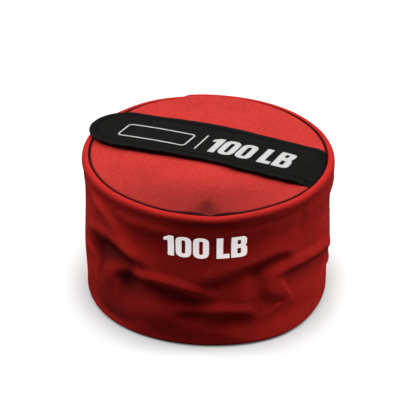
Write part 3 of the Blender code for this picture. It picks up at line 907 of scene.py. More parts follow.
class Nodes:
    """Adds the nodes of one tree and links them."""

    def __init__(self, tree: bpy.types.NodeTree) -> None:
        """Keeps the tree."""
        self.tree = tree

    def link(self, source: Socket, target: Socket) -> None:
        """Feeds one socket from another."""
        self.tree.links.new(source, target)

    def wire(self, node: bpy.types.Node, inputs: dict) -> bpy.types.Node:
        """Gives a node's inputs their values or what feeds them.

        Args:
            node: The node.
            inputs: Socket names or numbers, each with a value or the socket that feeds it.

        Returns:
            The same node.
        """
        for key, value in inputs.items():
            if isinstance(value, Socket):
                self.link(value, node.inputs[key])
            else:
                node.inputs[key].default_value = value
        return node

    def add(self, kind: str, inputs: dict | None = None, **settings: object) -> bpy.types.Node:
        """Adds a node.

        Args:
            kind: The node's type, without its ShaderNode prefix.
            inputs: What its inputs get.
            settings: Attributes of the node.

        Returns:
            The node.
        """
        node = self.tree.nodes.new(f"ShaderNode{kind}")
        for key, value in settings.items():
            setattr(node, key, value)
        return self.wire(node, inputs or {})

    def group(self, tree: bpy.types.NodeTree, **inputs: Socket | float) -> Sockets:
        """Puts in a shared group with its own values, and gives its outputs."""
        node = self.add("Group", node_tree=tree)
        return self.wire(node, inputs).outputs

    def math(self, operation: str, *values: Socket | float, clamp: bool = False) -> Socket:
        """The result of a Math node on one to three values."""
        return self.add("Math", dict(enumerate(values)), operation=operation, use_clamp=clamp).outputs[0]

    def blend(self, share: Socket | float, low: Socket | tuple, high: Socket | tuple) -> Socket:
        """The colour between two others, by a share."""
        return self.add("Mix", {0: share, 6: low, 7: high}, data_type="RGBA").outputs[2]

    def spread(self, value: Socket, low: float, high: float, to_low: float = 0.0,
               to_high: float = 1.0) -> Socket:
        """A value moved from one range to another and held inside it."""
        return self.add("MapRange", {0: value, 1: low, 2: high, 3: to_low, 4: to_high}).outputs[0]

    def noise(self, place: Socket, scale: Socket | float, detail: float = 3.0,
              roughness: float = 0.55) -> Socket:
        """Noise from 0 to 1, with its scale in waves to a metre."""
        inputs = {"Vector": place, "Scale": scale, "Detail": detail, "Roughness": roughness}
        return self.add("TexNoise", inputs).outputs["Fac"]

    def bump(self, height: Socket, distance: float, strength: float,
             normal: Socket | None = None) -> Socket:
        """A normal bent by a height, on top of another normal if one is given.

        Args:
            height: The height.
            distance: Its full depth, in metres.
            strength: Its share, from 0 to 1.
            normal: The normal underneath.

        Returns:
            The bent normal.
        """
        inputs = {"Height": height, "Distance": distance, "Strength": strength}
        if normal is not None:
            inputs["Normal"] = normal
        return self.add("Bump", inputs).outputs[0]


def group_of(name: str, inputs: dict[str, tuple[str, float | None]],
             outputs: Sequence[str]) -> tuple[Nodes, Sockets, Sockets]:
    """Starts a shader node group.

    Args:
        name: The group's name.
        inputs: Input names, each with its socket type and its value.
        outputs: Names of its outputs, all of them numbers.

    Returns:
        The group's nodes, its inputs and its outputs.
    """
    tree = bpy.data.node_groups.new(name, "ShaderNodeTree")
    for key, (kind, value) in inputs.items():
        socket = tree.interface.new_socket(key, in_out="INPUT", socket_type=f"NodeSocket{kind}")
        if value is not None:
            socket.default_value = value
    for key in outputs:
        tree.interface.new_socket(key, in_out="OUTPUT", socket_type="NodeSocketFloat")
    entry, leave = tree.nodes.new("NodeGroupInput"), tree.nodes.new("NodeGroupOutput")
    return Nodes(tree), entry.outputs, leave.inputs


def opaque(colour: Colour) -> tuple[float, float, float, float]:
    """A colour with a full alpha."""
    return (*colour, 1.0)


def give(shader: Sockets, values: dict[str, object]) -> None:
    """Sets values on a shader's own sockets."""
    for key, value in values.items():
        shader[key].default_value = value


@functools.cache
def weave_group() -> bpy.types.NodeTree:
    """Twill of half-sine threads: the warp is on top unless row plus column, in threes, is zero.

    Returns:
        A group with the thread's height, and a tone that differs by thread and by crossing.
    """
    inputs = {"Vector": ("Vector", None), "Thread": ("Float", 1.0 * MM), "Repeat": ("Float", 3.0)}
    nodes, given, out = group_of("woven threads", inputs, ("Height", "Tone"))
    place = nodes.add("VectorMath", {0: given["Vector"], 3: nodes.math("DIVIDE", 1.0, given["Thread"])},
                      operation="SCALE")
    axes = nodes.add("SeparateXYZ", {0: place.outputs[0]}).outputs
    rows, bows, tones = [], [], []
    for axis in axes[:2]:
        row = nodes.math("FLOOR", axis)
        rows.append(row)
        bows.append(nodes.math("SINE", nodes.math("MULTIPLY", nodes.math("FRACT", axis), math.pi)))
        tones.append(nodes.add("TexWhiteNoise", {"W": row}, noise_dimensions="1D").outputs["Value"])
    step = nodes.math("FLOORED_MODULO", nodes.math("ADD", rows[0], rows[1]), given["Repeat"])
    warp = nodes.math("GREATER_THAN", step, 0.9)
    weft = nodes.math("SUBTRACT", 1.0, warp)
    height, tone = (
        nodes.math("MULTIPLY_ADD", along_y, weft, nodes.math("MULTIPLY", along_x, warp))
        for along_x, along_y in (bows, tones)
    )
    crossing = nodes.add("VectorMath", {0: place.outputs[0]}, operation="FLOOR").outputs[0]
    speck = nodes.add("TexWhiteNoise", {"Vector": crossing}, noise_dimensions="2D").outputs["Value"]
    speckled = nodes.math("MULTIPLY_ADD", speck, 0.7, nodes.math("MULTIPLY", tone, 0.3))
    nodes.link(height, out["Height"])
    nodes.link(speckled, out["Tone"])
    return nodes.tree


@functools.cache
def mottle_group() -> bpy.types.NodeTree:
    """Uneven tone: broad noise plus a finer one, stretched to fill 0 to 1.

    Returns:
        A group with the tone and a finer height.
    """
    inputs = {"Vector": ("Vector", None), "Scale": ("Float", 14.0)}
    nodes, given, out = group_of("uneven tone", inputs, ("Tone", "Height"))
    broad = nodes.noise(given["Vector"], given["Scale"], detail=2.0)
    fine_scale = nodes.math("MULTIPLY", given["Scale"], 6.0)
    fine = nodes.noise(given["Vector"], fine_scale, detail=4.0, roughness=0.6)
    total = nodes.math("MULTIPLY_ADD", fine, 0.45, nodes.math("MULTIPLY", broad, 0.55))
    nodes.link(nodes.spread(total, 0.34, 0.66), out["Tone"])
    nodes.link(fine, out["Height"])
    return nodes.tree


@functools.cache
def wear_and_painted_light_group() -> bpy.types.NodeTree:
    """Wear and painted light: the piece's wear attribute, broken up by noise where it is rubbed and where
    it has painted highlights; below zero it is painted shade.

    Returns:
        A group with a mask from 0, fresh, to 1, rubbed and painted highlight, and one for painted shade.
    """
    inputs = {"Vector": ("Vector", None), "Amount": ("Float", 1.0)}
    nodes, given, out = group_of("rubbed places and painted light", inputs, ("Mask", "Painted shade"))
    worn_and_painted_highlight = nodes.add("Attribute", attribute_name="wear_and_painted_light").outputs["Fac"]
    broken = nodes.spread(nodes.noise(given["Vector"], 95.0, detail=5.0, roughness=0.65), 0.38, 0.66)
    mask = nodes.math("MULTIPLY", nodes.math("MULTIPLY", worn_and_painted_highlight, broken), given["Amount"], clamp=True)
    nodes.link(mask, out["Mask"])
    nodes.link(nodes.math("MULTIPLY", worn_and_painted_highlight, -1.0, clamp=True), out["Painted shade"])
    return nodes.tree


class Pattern(Enum):
    """Where a finish's pattern gets its coordinates."""

    OBJECT = "Object"
    CLOTH = "UV"


@dataclass(frozen=True)
class Finish:
    """What a surface is dressed in; each kind of finish adds its own nodes."""

    name: str
    slot: str
    colour: Colour
    deep: Colour
    roughness: float = 0.8
    pattern: Pattern = Pattern.OBJECT
    uneven: float = 0.06
    """How far the roughness moves with the tone."""

    @functools.cache
    def material(self) -> bpy.types.Material:
        """Makes the material, once.

        Returns:
            The material, with its nodes.
        """
        made = bpy.data.materials.new(self.name)
        made.use_nodes = True
        made.diffuse_color = opaque(self.colour)
        nodes = Nodes(made.node_tree)
        shader = made.node_tree.nodes["Principled BSDF"]
        place = nodes.add("TexCoord").outputs[self.pattern.value]
        self.dress(nodes, shader.inputs, place)
        return made

    def dress(self, nodes: Nodes, shader: Sockets, place: Socket) -> None:
        """Feeds the shader; the plain kind is a moulded or sprayed skin with a fine grain.

        Args:
            nodes: The material's nodes.
            shader: The Principled BSDF's inputs.
            place: The pattern's coordinates, in metres.
        """
        tone = nodes.group(mottle_group(), Vector=place, Scale=60.0)
        self.feed(nodes, shader, tone["Tone"], nodes.bump(tone["Height"], distance=0.2 * MM, strength=0.3))

    def feed(self, nodes: Nodes, shader: Sockets, tone: Socket, normal: Socket) -> None:
        """Links a tone between the finish's two colours, a roughness round its own, and a normal.

        Args:
            nodes: The material's nodes.
            shader: The Principled BSDF's inputs.
            tone: 0 at the deep colour and 1 at the finish's own.
            normal: The bent normal.
        """
        nodes.link(nodes.blend(tone, opaque(self.deep), opaque(self.colour)), shader["Base Color"])
        dull, sharp = min(1.0, self.roughness + self.uneven), self.roughness - self.uneven
        nodes.link(nodes.spread(tone, 0.0, 1.0, dull, sharp), shader["Roughness"])
        nodes.link(normal, shader["Normal"])


@dataclass(frozen=True)
class ClothFinish(Finish):
    """Woven cloth: threads, uneven dye, rubbed crests with painted highlights, painted shade in seams and
    hollows, and a soft sheen.
    """

    thread: float = 0.9 * MM
    repeat: float = 3.0
    relief: float = 0.35
    sheen: float = 0.2
    # Paler colour of rubbed places and of painted highlights.
    worn_and_painted_highlight: Colour = (0.6, 0.12, 0.09)
    # How strongly rubbed places, painted highlights and painted shade show.
    wear_and_painted_light: float = 0.0
    tone_scale: float = 14.0
    thread_share: float = 0.35
    """How much of the tone comes from single threads."""
    specular: float = 0.15
    painted_shade: float = 0.12
    # Colour of the painted shade, as a share of its deep colour.
    """Colour of soiled cloth, as a share of its deep colour."""

    def dress(self, nodes: Nodes, shader: Sockets, place: Socket) -> None:
        """Feeds the shader with the weave over the uneven dye.

        Args:
            nodes: The material's nodes.
            shader: The Principled BSDF's inputs.
            place: The pattern's coordinates, in metres.
        """
        weave = nodes.group(weave_group(), Vector=place, Thread=self.thread, Repeat=self.repeat)
        tone = nodes.group(mottle_group(), Vector=place, Scale=self.tone_scale)
        depth = nodes.math("MULTIPLY_ADD", weave["Height"], 0.5, nodes.math("MULTIPLY", weave["Tone"], 0.5))
        mixed = nodes.math("MULTIPLY", depth, self.thread_share)
        total = nodes.math("MULTIPLY_ADD", tone["Tone"], 1.0 - self.thread_share, mixed)
        threads = nodes.bump(weave["Height"], distance=0.25 * MM, strength=self.relief)
        self.feed(nodes, shader, total, nodes.bump(tone["Height"], 1.2 * MM, 0.25, threads))
        # Rubbed places and painted highlights blend to the paler colour, and painted shade to a dark share
        # of the deep colour.
        if self.wear_and_painted_light:
            masks = nodes.group(wear_and_painted_light_group(), Vector=place, Amount=self.wear_and_painted_light)
            fresh = shader["Base Color"].links[0].from_socket
            rubbed = nodes.blend(masks["Mask"], fresh, opaque(self.worn_and_painted_highlight))
            painted_shade_colour = opaque(tuple(self.painted_shade * part for part in self.deep))
            nodes.link(nodes.blend(masks["Painted shade"], rubbed, painted_shade_colour), shader["Base Color"])
        give(shader, {"Sheen Weight": self.sheen, "Sheen Roughness": 0.45, "Sheen Tint": opaque(self.worn_and_painted_highlight),
                      "Specular IOR Level": self.specular})


@dataclass(frozen=True)
class PileFinish(Finish):
    """Hook or loop tape: a fuzz of small loops or rows of hooks over a dark ground."""

    tuft: float = 0.7 * MM
    relief: float = 0.8

    def dress(self, nodes: Nodes, shader: Sockets, place: Socket) -> None:
        """Feeds the shader with cells the size of a tuft, broken up by noise.

        Args:
            nodes: The material's nodes.
            shader: The Principled BSDF's inputs.
            place: The pattern's coordinates, in metres.
        """
        cells = nodes.add("TexVoronoi", {"Vector": place, "Scale": 1.0 / self.tuft}, feature="F1")
        fuzz = nodes.noise(place, 2.0 / self.tuft, detail=4.0, roughness=0.7)
        hollow = nodes.math("SUBTRACT", 0.8, cells.outputs["Distance"])
        height = nodes.math("MULTIPLY_ADD", fuzz, 0.6, hollow)
        self.feed(nodes, shader, nodes.spread(height, 0.3, 1.1), nodes.bump(height, 0.5 * MM, self.relief))
        give(shader, {"Sheen Weight": 0.3})


@dataclass(frozen=True)
class MetalFinish(Finish):
    """Cast and tumbled metal with fine scratches along it."""

    def dress(self, nodes: Nodes, shader: Sockets, place: Socket) -> None:
        """Feeds the shader with a stretched scratch noise.

        Args:
            nodes: The material's nodes.
            shader: The Principled BSDF's inputs.
            place: The pattern's coordinates, in metres.
        """
        run = nodes.add("Mapping", {"Vector": place, "Scale": (60.0, 900.0, 900.0)}).outputs[0]
        scratch = nodes.noise(run, 1.0, detail=4.0, roughness=0.7)
        cast = nodes.noise(place, 1500.0)
        tone = nodes.spread(nodes.math("ADD", scratch, cast), 0.7, 1.3)
        self.feed(nodes, shader, tone, nodes.bump(scratch, distance=0.05 * MM, strength=0.4))
        give(shader, {"Metallic": 1.0})


@dataclass(frozen=True)
class GrainFinish(Finish):
    """Sand: grains of many tones, each a small cell, with damp patches."""

    grain: float = 0.8 * MM

    def dress(self, nodes: Nodes, shader: Sockets, place: Socket) -> None:
        """Feeds the shader with a tone for each grain and a round height.

        Args:
            nodes: The material's nodes.
            shader: The Principled BSDF's inputs.
            place: The pattern's coordinates, in metres.
        """
        cells = nodes.add("TexVoronoi", {"Vector": place, "Scale": 1.0 / self.grain}).outputs
        tone = nodes.add("SeparateColor", {0: cells["Color"]}).outputs[0]
        damp = nodes.spread(nodes.noise(place, 25.0), 0.35, 0.7, 0.0, 0.5)
        total = nodes.math("SUBTRACT", tone, damp, clamp=True)
        height = nodes.math("SUBTRACT", 1.0, cells["Distance"])
        self.feed(nodes, shader, total, nodes.bump(height, distance=0.4 * MM, strength=0.7))


@dataclass(frozen=True)
class PrintFinish(Finish):
    """Screen print on cloth: a flat ink that lets the threads show and is thin in places."""

    # A painted glow: emission that makes the print brighter than the lamps light it.
    painted_glow: float = 0.0

    def dress(self, nodes: Nodes, shader: Sockets, place: Socket) -> None:
        """Feeds the shader with a fine crackle over the cloth's threads.

        Args:
            nodes: The material's nodes.
            shader: The Principled BSDF's inputs.
            place: The pattern's coordinates, in metres.
        """
        weave = nodes.group(weave_group(), Vector=place, Thread=0.9 * MM, Repeat=3.0)
        thin = nodes.spread(nodes.noise(place, 240.0, detail=5.0, roughness=0.7), 0.25, 0.45)
        tone = nodes.math("MULTIPLY_ADD", weave["Tone"], 0.25, nodes.math("MULTIPLY", thin, 0.75))
        self.feed(nodes, shader, tone, nodes.bump(weave["Height"], distance=0.2 * MM, strength=0.25))
        if self.painted_glow:
            give(shader, {"Emission Color": opaque(self.colour), "Emission Strength": self.painted_glow})


# One red cloth in two copies: the side's is darker and deeper red as painted shade, the top's paler as
# painted light.
SIDE_CLOTH_PAINTED_SHADE = ClothFinish(
    "red side cloth with painted shade", "red_cloth", (0.63, 0.021, 0.015), (0.37, 0.006, 0.005), 0.85, Pattern.CLOTH,
    wear_and_painted_light=0.25, worn_and_painted_highlight=(0.62, 0.040, 0.030), thread=2.0 * MM, thread_share=0.7, relief=0.9)
TOP_CLOTH_PAINTED_LIGHT = ClothFinish(
    "red top cloth with painted light", "red_cloth", (0.70, 0.046, 0.036), (0.33, 0.010, 0.008), 0.82,
    wear_and_painted_light=0.3, worn_and_painted_highlight=(0.66, 0.070, 0.055), thread=2.1 * MM, thread_share=0.80, relief=1.2)
BASE_CLOTH = ClothFinish(
    "red base cloth", "red_cloth", (0.40, 0.026, 0.02), (0.28, 0.016, 0.013), 0.88,
    wear_and_painted_light=0.9, worn_and_painted_highlight=(0.36, 0.20, 0.15))
SEAM_TAPE = ClothFinish(
    "dark red seam tape", "seam_tape", (0.26, 0.02, 0.02), (0.18, 0.012, 0.012), 0.85, Pattern.CLOTH,
    thread=0.6 * MM, repeat=2.0)
RED_THREAD = ClothFinish(
    "red sewing thread", "red_cloth", (0.40, 0.020, 0.016), (0.26, 0.012, 0.010), 0.7,
    thread=0.25 * MM, repeat=2.0)
BLACK_CLOTH = ClothFinish(
    "black flap cloth", "black_cloth", (0.0080, 0.0078, 0.0070), (0.0044, 0.0043, 0.0039), 0.80,
    wear_and_painted_light=0.35, worn_and_painted_highlight=(0.05, 0.05, 0.048), thread=0.8 * MM, thread_share=0.5, sheen=0.02, specular=0.05)
BLACK_THREAD = ClothFinish(
    "black sewing thread", "black_cloth", (0.012, 0.012, 0.012), (0.006, 0.006, 0.006), 0.6,
    worn_and_painted_highlight=(0.05, 0.05, 0.05), thread=0.25 * MM, repeat=2.0, sheen=0.1)
ZIP_TAPE = ClothFinish(
    "zip tape", "zip_tape", (0.020, 0.020, 0.021), (0.010, 0.010, 0.010), 0.85, Pattern.CLOTH,
    worn_and_painted_highlight=(0.06, 0.06, 0.06), thread=0.5 * MM, repeat=4.0, sheen=0.1)
ZIP_COIL = Finish("zip coil", "zip_coil", (0.030, 0.030, 0.032), (0.015, 0.015, 0.016), 0.38)
ZIP_METAL = MetalFinish("dark zip metal", "zip_metal", (0.22, 0.22, 0.23), (0.10, 0.10, 0.11), 0.34)
LOOP_PILE = PileFinish("loop tape", "loop_tape", (0.045, 0.045, 0.045), (0.008, 0.008, 0.008), 0.93)
HOOK_PILE = PileFinish(
    "hook tape", "hook_tape", (0.028, 0.028, 0.029), (0.010, 0.010, 0.010), 0.55, tuft=1.1 * MM, relief=0.3)
PULL_CORD = ClothFinish(
    "braided pull cord", "pull_cord", (0.024, 0.024, 0.024), (0.010, 0.010, 0.010), 0.75, Pattern.CLOTH,
    worn_and_painted_highlight=(0.07, 0.07, 0.07), thread=0.3 * MM, repeat=2.0, sheen=0.1)
GRIP_RUBBER = Finish("moulded grip", "grip_rubber", (0.034, 0.034, 0.035), (0.020, 0.020, 0.021), 0.52)
LINER_CLOTH = ClothFinish(
    "liner cloth", "liner_cloth", (0.64, 0.64, 0.60), (0.50, 0.50, 0.46), 0.68,
    wear_and_painted_light=0.5, worn_and_painted_highlight=(0.55, 0.48, 0.36), thread=1.4 * MM, repeat=2.0, sheen=0.05)
TIE_PLASTIC = Finish("tie plastic", "tie_plastic", (0.034, 0.034, 0.035), (0.022, 0.022, 0.022), 0.45)
SAND = GrainFinish("dry sand", "sand", (0.66, 0.52, 0.34), (0.30, 0.21, 0.12), 0.95)
FLAP_PRINT = PrintFinish("white flap print", "white_print", (0.53, 0.53, 0.52), (0.40, 0.40, 0.39), 0.6)
# The side print has a painted glow.
SIDE_PRINT = PrintFinish(
    "white side print", "white_print", (0.86, 0.82, 0.81), (0.66, 0.60, 0.59), 0.6, painted_glow=0.68)


def dress(item: Item, finish: Finish, body: Body | None, *nodes: str) -> Item:
    """Gives a piece its finish and its body, and hides the CAD nodes that it stands for.

    Args:
        item: The piece.
        finish: What it is dressed in.
        body: The body it rides on, or none where it bends between two.
        nodes: CAD nodes that it stands for.

    Returns:
        The piece.
    """
    item.data.materials.append(finish.material())
    if body:
        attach(item, body.value)
    if nodes:
        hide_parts(*nodes)
    LOG.info("%s: %s, %d faces", item.name, finish.name, len(item.data.polygons))
    return item


# Sewing and lettering


@dataclass(frozen=True)
class StitchRow:
    """A row of lockstitches: each one a flat capsule of thread half sunk in the cloth."""

    pitch: float = 3.4 * MM
    length: float = 2.7 * MM
    width: float = 0.55 * MM
    height: float = 0.35 * MM
    stations: int = 5
    sides: int = 6

    def sew(self, draft: MeshDraft, path: Array, normal: Array) -> None:
        """Adds stitches along a path: an ellipse carried along each, shrunk to a point at both ends.

        Args:
            draft: The mesh that takes them.
            path: Points of the seam line.
            normal: The cloth's normal at each of them.
        """
        covered = travelled(path)
        wanted = np.arange(self.pitch / 2, covered[-1], self.pitch)
        middle = read_at(path, covered, wanted)
        up = unit(read_at(normal, covered, wanted))
        along = unit(read_at(path, covered, wanted + MM) - read_at(path, covered, wanted - MM))
        reach = np.sin(np.linspace(-math.pi / 2, math.pi / 2, self.stations))
        size = np.sqrt(np.clip(1.0 - reach**2, 0.0, 1.0))
        ellipse = circle_across(np.cross(along, up) * self.width / 2, up * self.height, self.sides)
        run = along[:, None, None] * reach[None, :, None, None] * self.length / 2
        draft.tube(middle[:, None, None] + run + size[:, None, None] * ellipse[:, None])


@dataclass(frozen=True)
class Stroke:
    """A closed outline of a glyph, as x, y and corner radius, in heights of a capital."""

    corners: tuple[tuple[float, float, float], ...]

    def outline(self, steps: int = 5) -> Array:
        """The outline with every corner cut to its radius by a quadratic curve.

        Args:
            steps: Steps in each corner.

        Returns:
            The outline's points.
        """
        points = np.array([corner[:2] for corner in self.corners])
        radii = [corner[2] for corner in self.corners]
        share = np.linspace(0.0, 1.0, steps + 1)[:, None]
        rounded = []
        before, after = np.roll(points, 1, 0), np.roll(points, -1, 0)
        for here, last, following, radius in zip(points, before, after, radii):
            if radius == 0.0:
                rounded.append(here[None])
                continue
            start = here + unit(last - here) * radius
            end = here + unit(following - here) * radius
            rounded.append((1 - share) ** 2 * start + 2 * share * (1 - share) * here + share**2 * end)
        return np.vstack(rounded)


def box_stroke(left: float, right: float, low: float, high: float, corner: float) -> Stroke:
    """A rectangle with four round corners."""
    places = ((left, low), (right, low), (right, high), (left, high))
    return Stroke(tuple((x, y, corner) for x, y in places))


GLYPHS = {
    "1": (0.36, (Stroke(((0.14, 0, 0.02), (0.36, 0, 0.02), (0.36, 1, 0.02), (0.20, 1, 0), (0, 0.86, 0.02),
                         (0, 0.70, 0.02), (0.14, 0.76, 0.02))),)),
    "0": (0.54, (box_stroke(0, 0.54, 0, 1, 0.26), box_stroke(0.205, 0.335, 0.17, 0.83, 0.065))),
    "L": (0.44, (Stroke(((0, 0, 0.02), (0.44, 0, 0.02), (0.44, 0.2, 0.02), (0.22, 0.2, 0), (0.22, 1, 0.02),
                         (0, 1, 0.02))),)),
    "B": (0.56, (Stroke(((0, 0, 0.02), (0.56, 0, 0.20), (0.56, 0.50, 0.14), (0.49, 0.53, 0.01),
                         (0.54, 0.56, 0.10), (0.54, 1, 0.19), (0, 1, 0.02))),
                 box_stroke(0.21, 0.345, 0.16, 0.43, 0.055), box_stroke(0.21, 0.335, 0.61, 0.84, 0.055))),
}
LETTER_GAP = 0.06
WORD_GAP = 0.20
WEIGHT_TEXT = "100 LB"
INK = 0.25 * MM
INK_LIFT = 0.28 * MM


def lettering(text: str, slant: float = 0.0) -> tuple[list[Array], float]:
    """Outlines of a line of heavy condensed lettering.

    Args:
        text: The characters; all are in GLYPHS or are spaces.
        slant: How far the top leans to the right.

    Returns:
        The outlines and the line's width, in heights of a capital.
    """
    outlines = []
    start = 0.0
    for character in text:
        if character == " ":
            start += WORD_GAP
            continue
        width, strokes = GLYPHS[character]
        for stroke in strokes:
            points = stroke.outline() + (start, 0.0)
            points[:, 0] += slant * points[:, 1]
            outlines.append(points)
        start += width + LETTER_GAP
    return outlines, start - LETTER_GAP


def printed(name: str, outlines: Sequence[Array], place: Callable[[Array, Array], Array],
            cell: float) -> Item:
    """Fills flat outlines, cuts the fill into cells and lays it on a surface.

    Args:
        name: Name of the piece.
        outlines: Closed outlines in the print's own plane, in metres.
        place: Gives the points on the surface for places in that plane.
        cell: Size of the cells.

    Returns:
        The print, with its thickness from a Solidify modifier.
    """
    curve = bpy.data.curves.new(name, "CURVE")
    curve.dimensions = "2D"
    curve.fill_mode = "FRONT"
    for outline in outlines:
        spline = curve.splines.new("POLY")
        spline.points.add(len(outline) - 1)
        flat = np.column_stack([outline, np.zeros(len(outline)), np.ones(len(outline))])
        spline.points.foreach_set("co", flat.ravel())
        spline.use_cyclic_u = True
    holder = bpy.data.objects.new(name, curve)
    bpy.context.scene.collection.objects.link(holder)
    bpy.context.view_layer.update()
    mesh = bpy.data.meshes.new_from_object(holder.evaluated_get(bpy.context.evaluated_depsgraph_get()))
    bpy.data.objects.remove(holder)
    bpy.data.curves.remove(curve)
    work = bmesh.new()
    work.from_mesh(mesh)
    bmesh.ops.remove_doubles(work, verts=work.verts, dist=WELD)
    low = np.min([outline.min(axis=0) for outline in outlines], axis=0)
    high = np.max([outline.max(axis=0) for outline in outlines], axis=0)
    for axis in (0, 1):
        normal = Vector((float(axis == 0), float(axis == 1), 0.0))
        for cut in np.arange(low[axis] + cell, high[axis], cell):
            whole = [*work.verts, *work.edges, *work.faces]
            bmesh.ops.bisect_plane(work, geom=whole, plane_co=normal * float(cut), plane_no=normal)
    bmesh.ops.recalc_face_normals(work, faces=work.faces)
    if sum(face.normal.z for face in work.faces) < 0.0:
        bmesh.ops.reverse_faces(work, faces=work.faces)
    work.to_mesh(mesh)
    work.free()
    flat = np.zeros(len(mesh.vertices) * 3, dtype=np.float32)
    mesh.vertices.foreach_get("co", flat)
    flat = flat.reshape(-1, 3).astype(float)
    mesh.vertices.foreach_set("co", place(flat[:, 0], flat[:, 1]).astype(np.float32).ravel())
    mesh.update()
    item = finished(name, mesh, MOULDED_EDGE)
    ink = item.modifiers.new("ink", "SOLIDIFY")
    ink.thickness = INK
    ink.offset = -1.0
    return item


# The red bag


HOLLOW_PAINTED_SHADE = ((0.50, 3.0 * MM, 8.0 * MM), (0.32, 9.0 * MM, 6.0 * MM))
# Painted shade in the folds' hollows: an amount, the depth where it starts and the depth over which it sets
# in.
"""Soil in the folds: an amount, the depth where it starts and the depth over which it sets in."""
FOOT_PAINTED_SHADE = (
    (Swell(0.30, -35, 42), 0.100, 0.060),
    (Swell(0.55, -55, 32), 0.044, 0.028),
    (Swell(0.34, 37, 17), 0.038, 0.022),
)
# Painted shade low on the wall: an amount round the bag, its top and the height over which it sets in.
"""Soil over the base: an amount round the bag, its top and the height over which it sets in."""
# Painted shade in two pockets of the wall: turn, height, half turn, half height and amount.
SIDE_PAINTED_SHADE = (Spot(-54, 0.077, 10, 0.014, 0.40), Spot(27, 0.110, 5, 0.013, 0.35))
# Painted light on a spot of the upper wall just under the rim.
UPPER_WALL_PAINTED_LIGHT = Spot(-30, 0.211, 19, 0.013, 0.50)
# Painted shade on the band of wall right under the rim, strongest at the front.
UNDER_RIM_PAINTED_SHADE = Swell(0.42, 2, 58)
# Painted shade over the top's front half.
TOP_FRONT_PAINTED_SHADE = Swell(0.50, -6, 46)


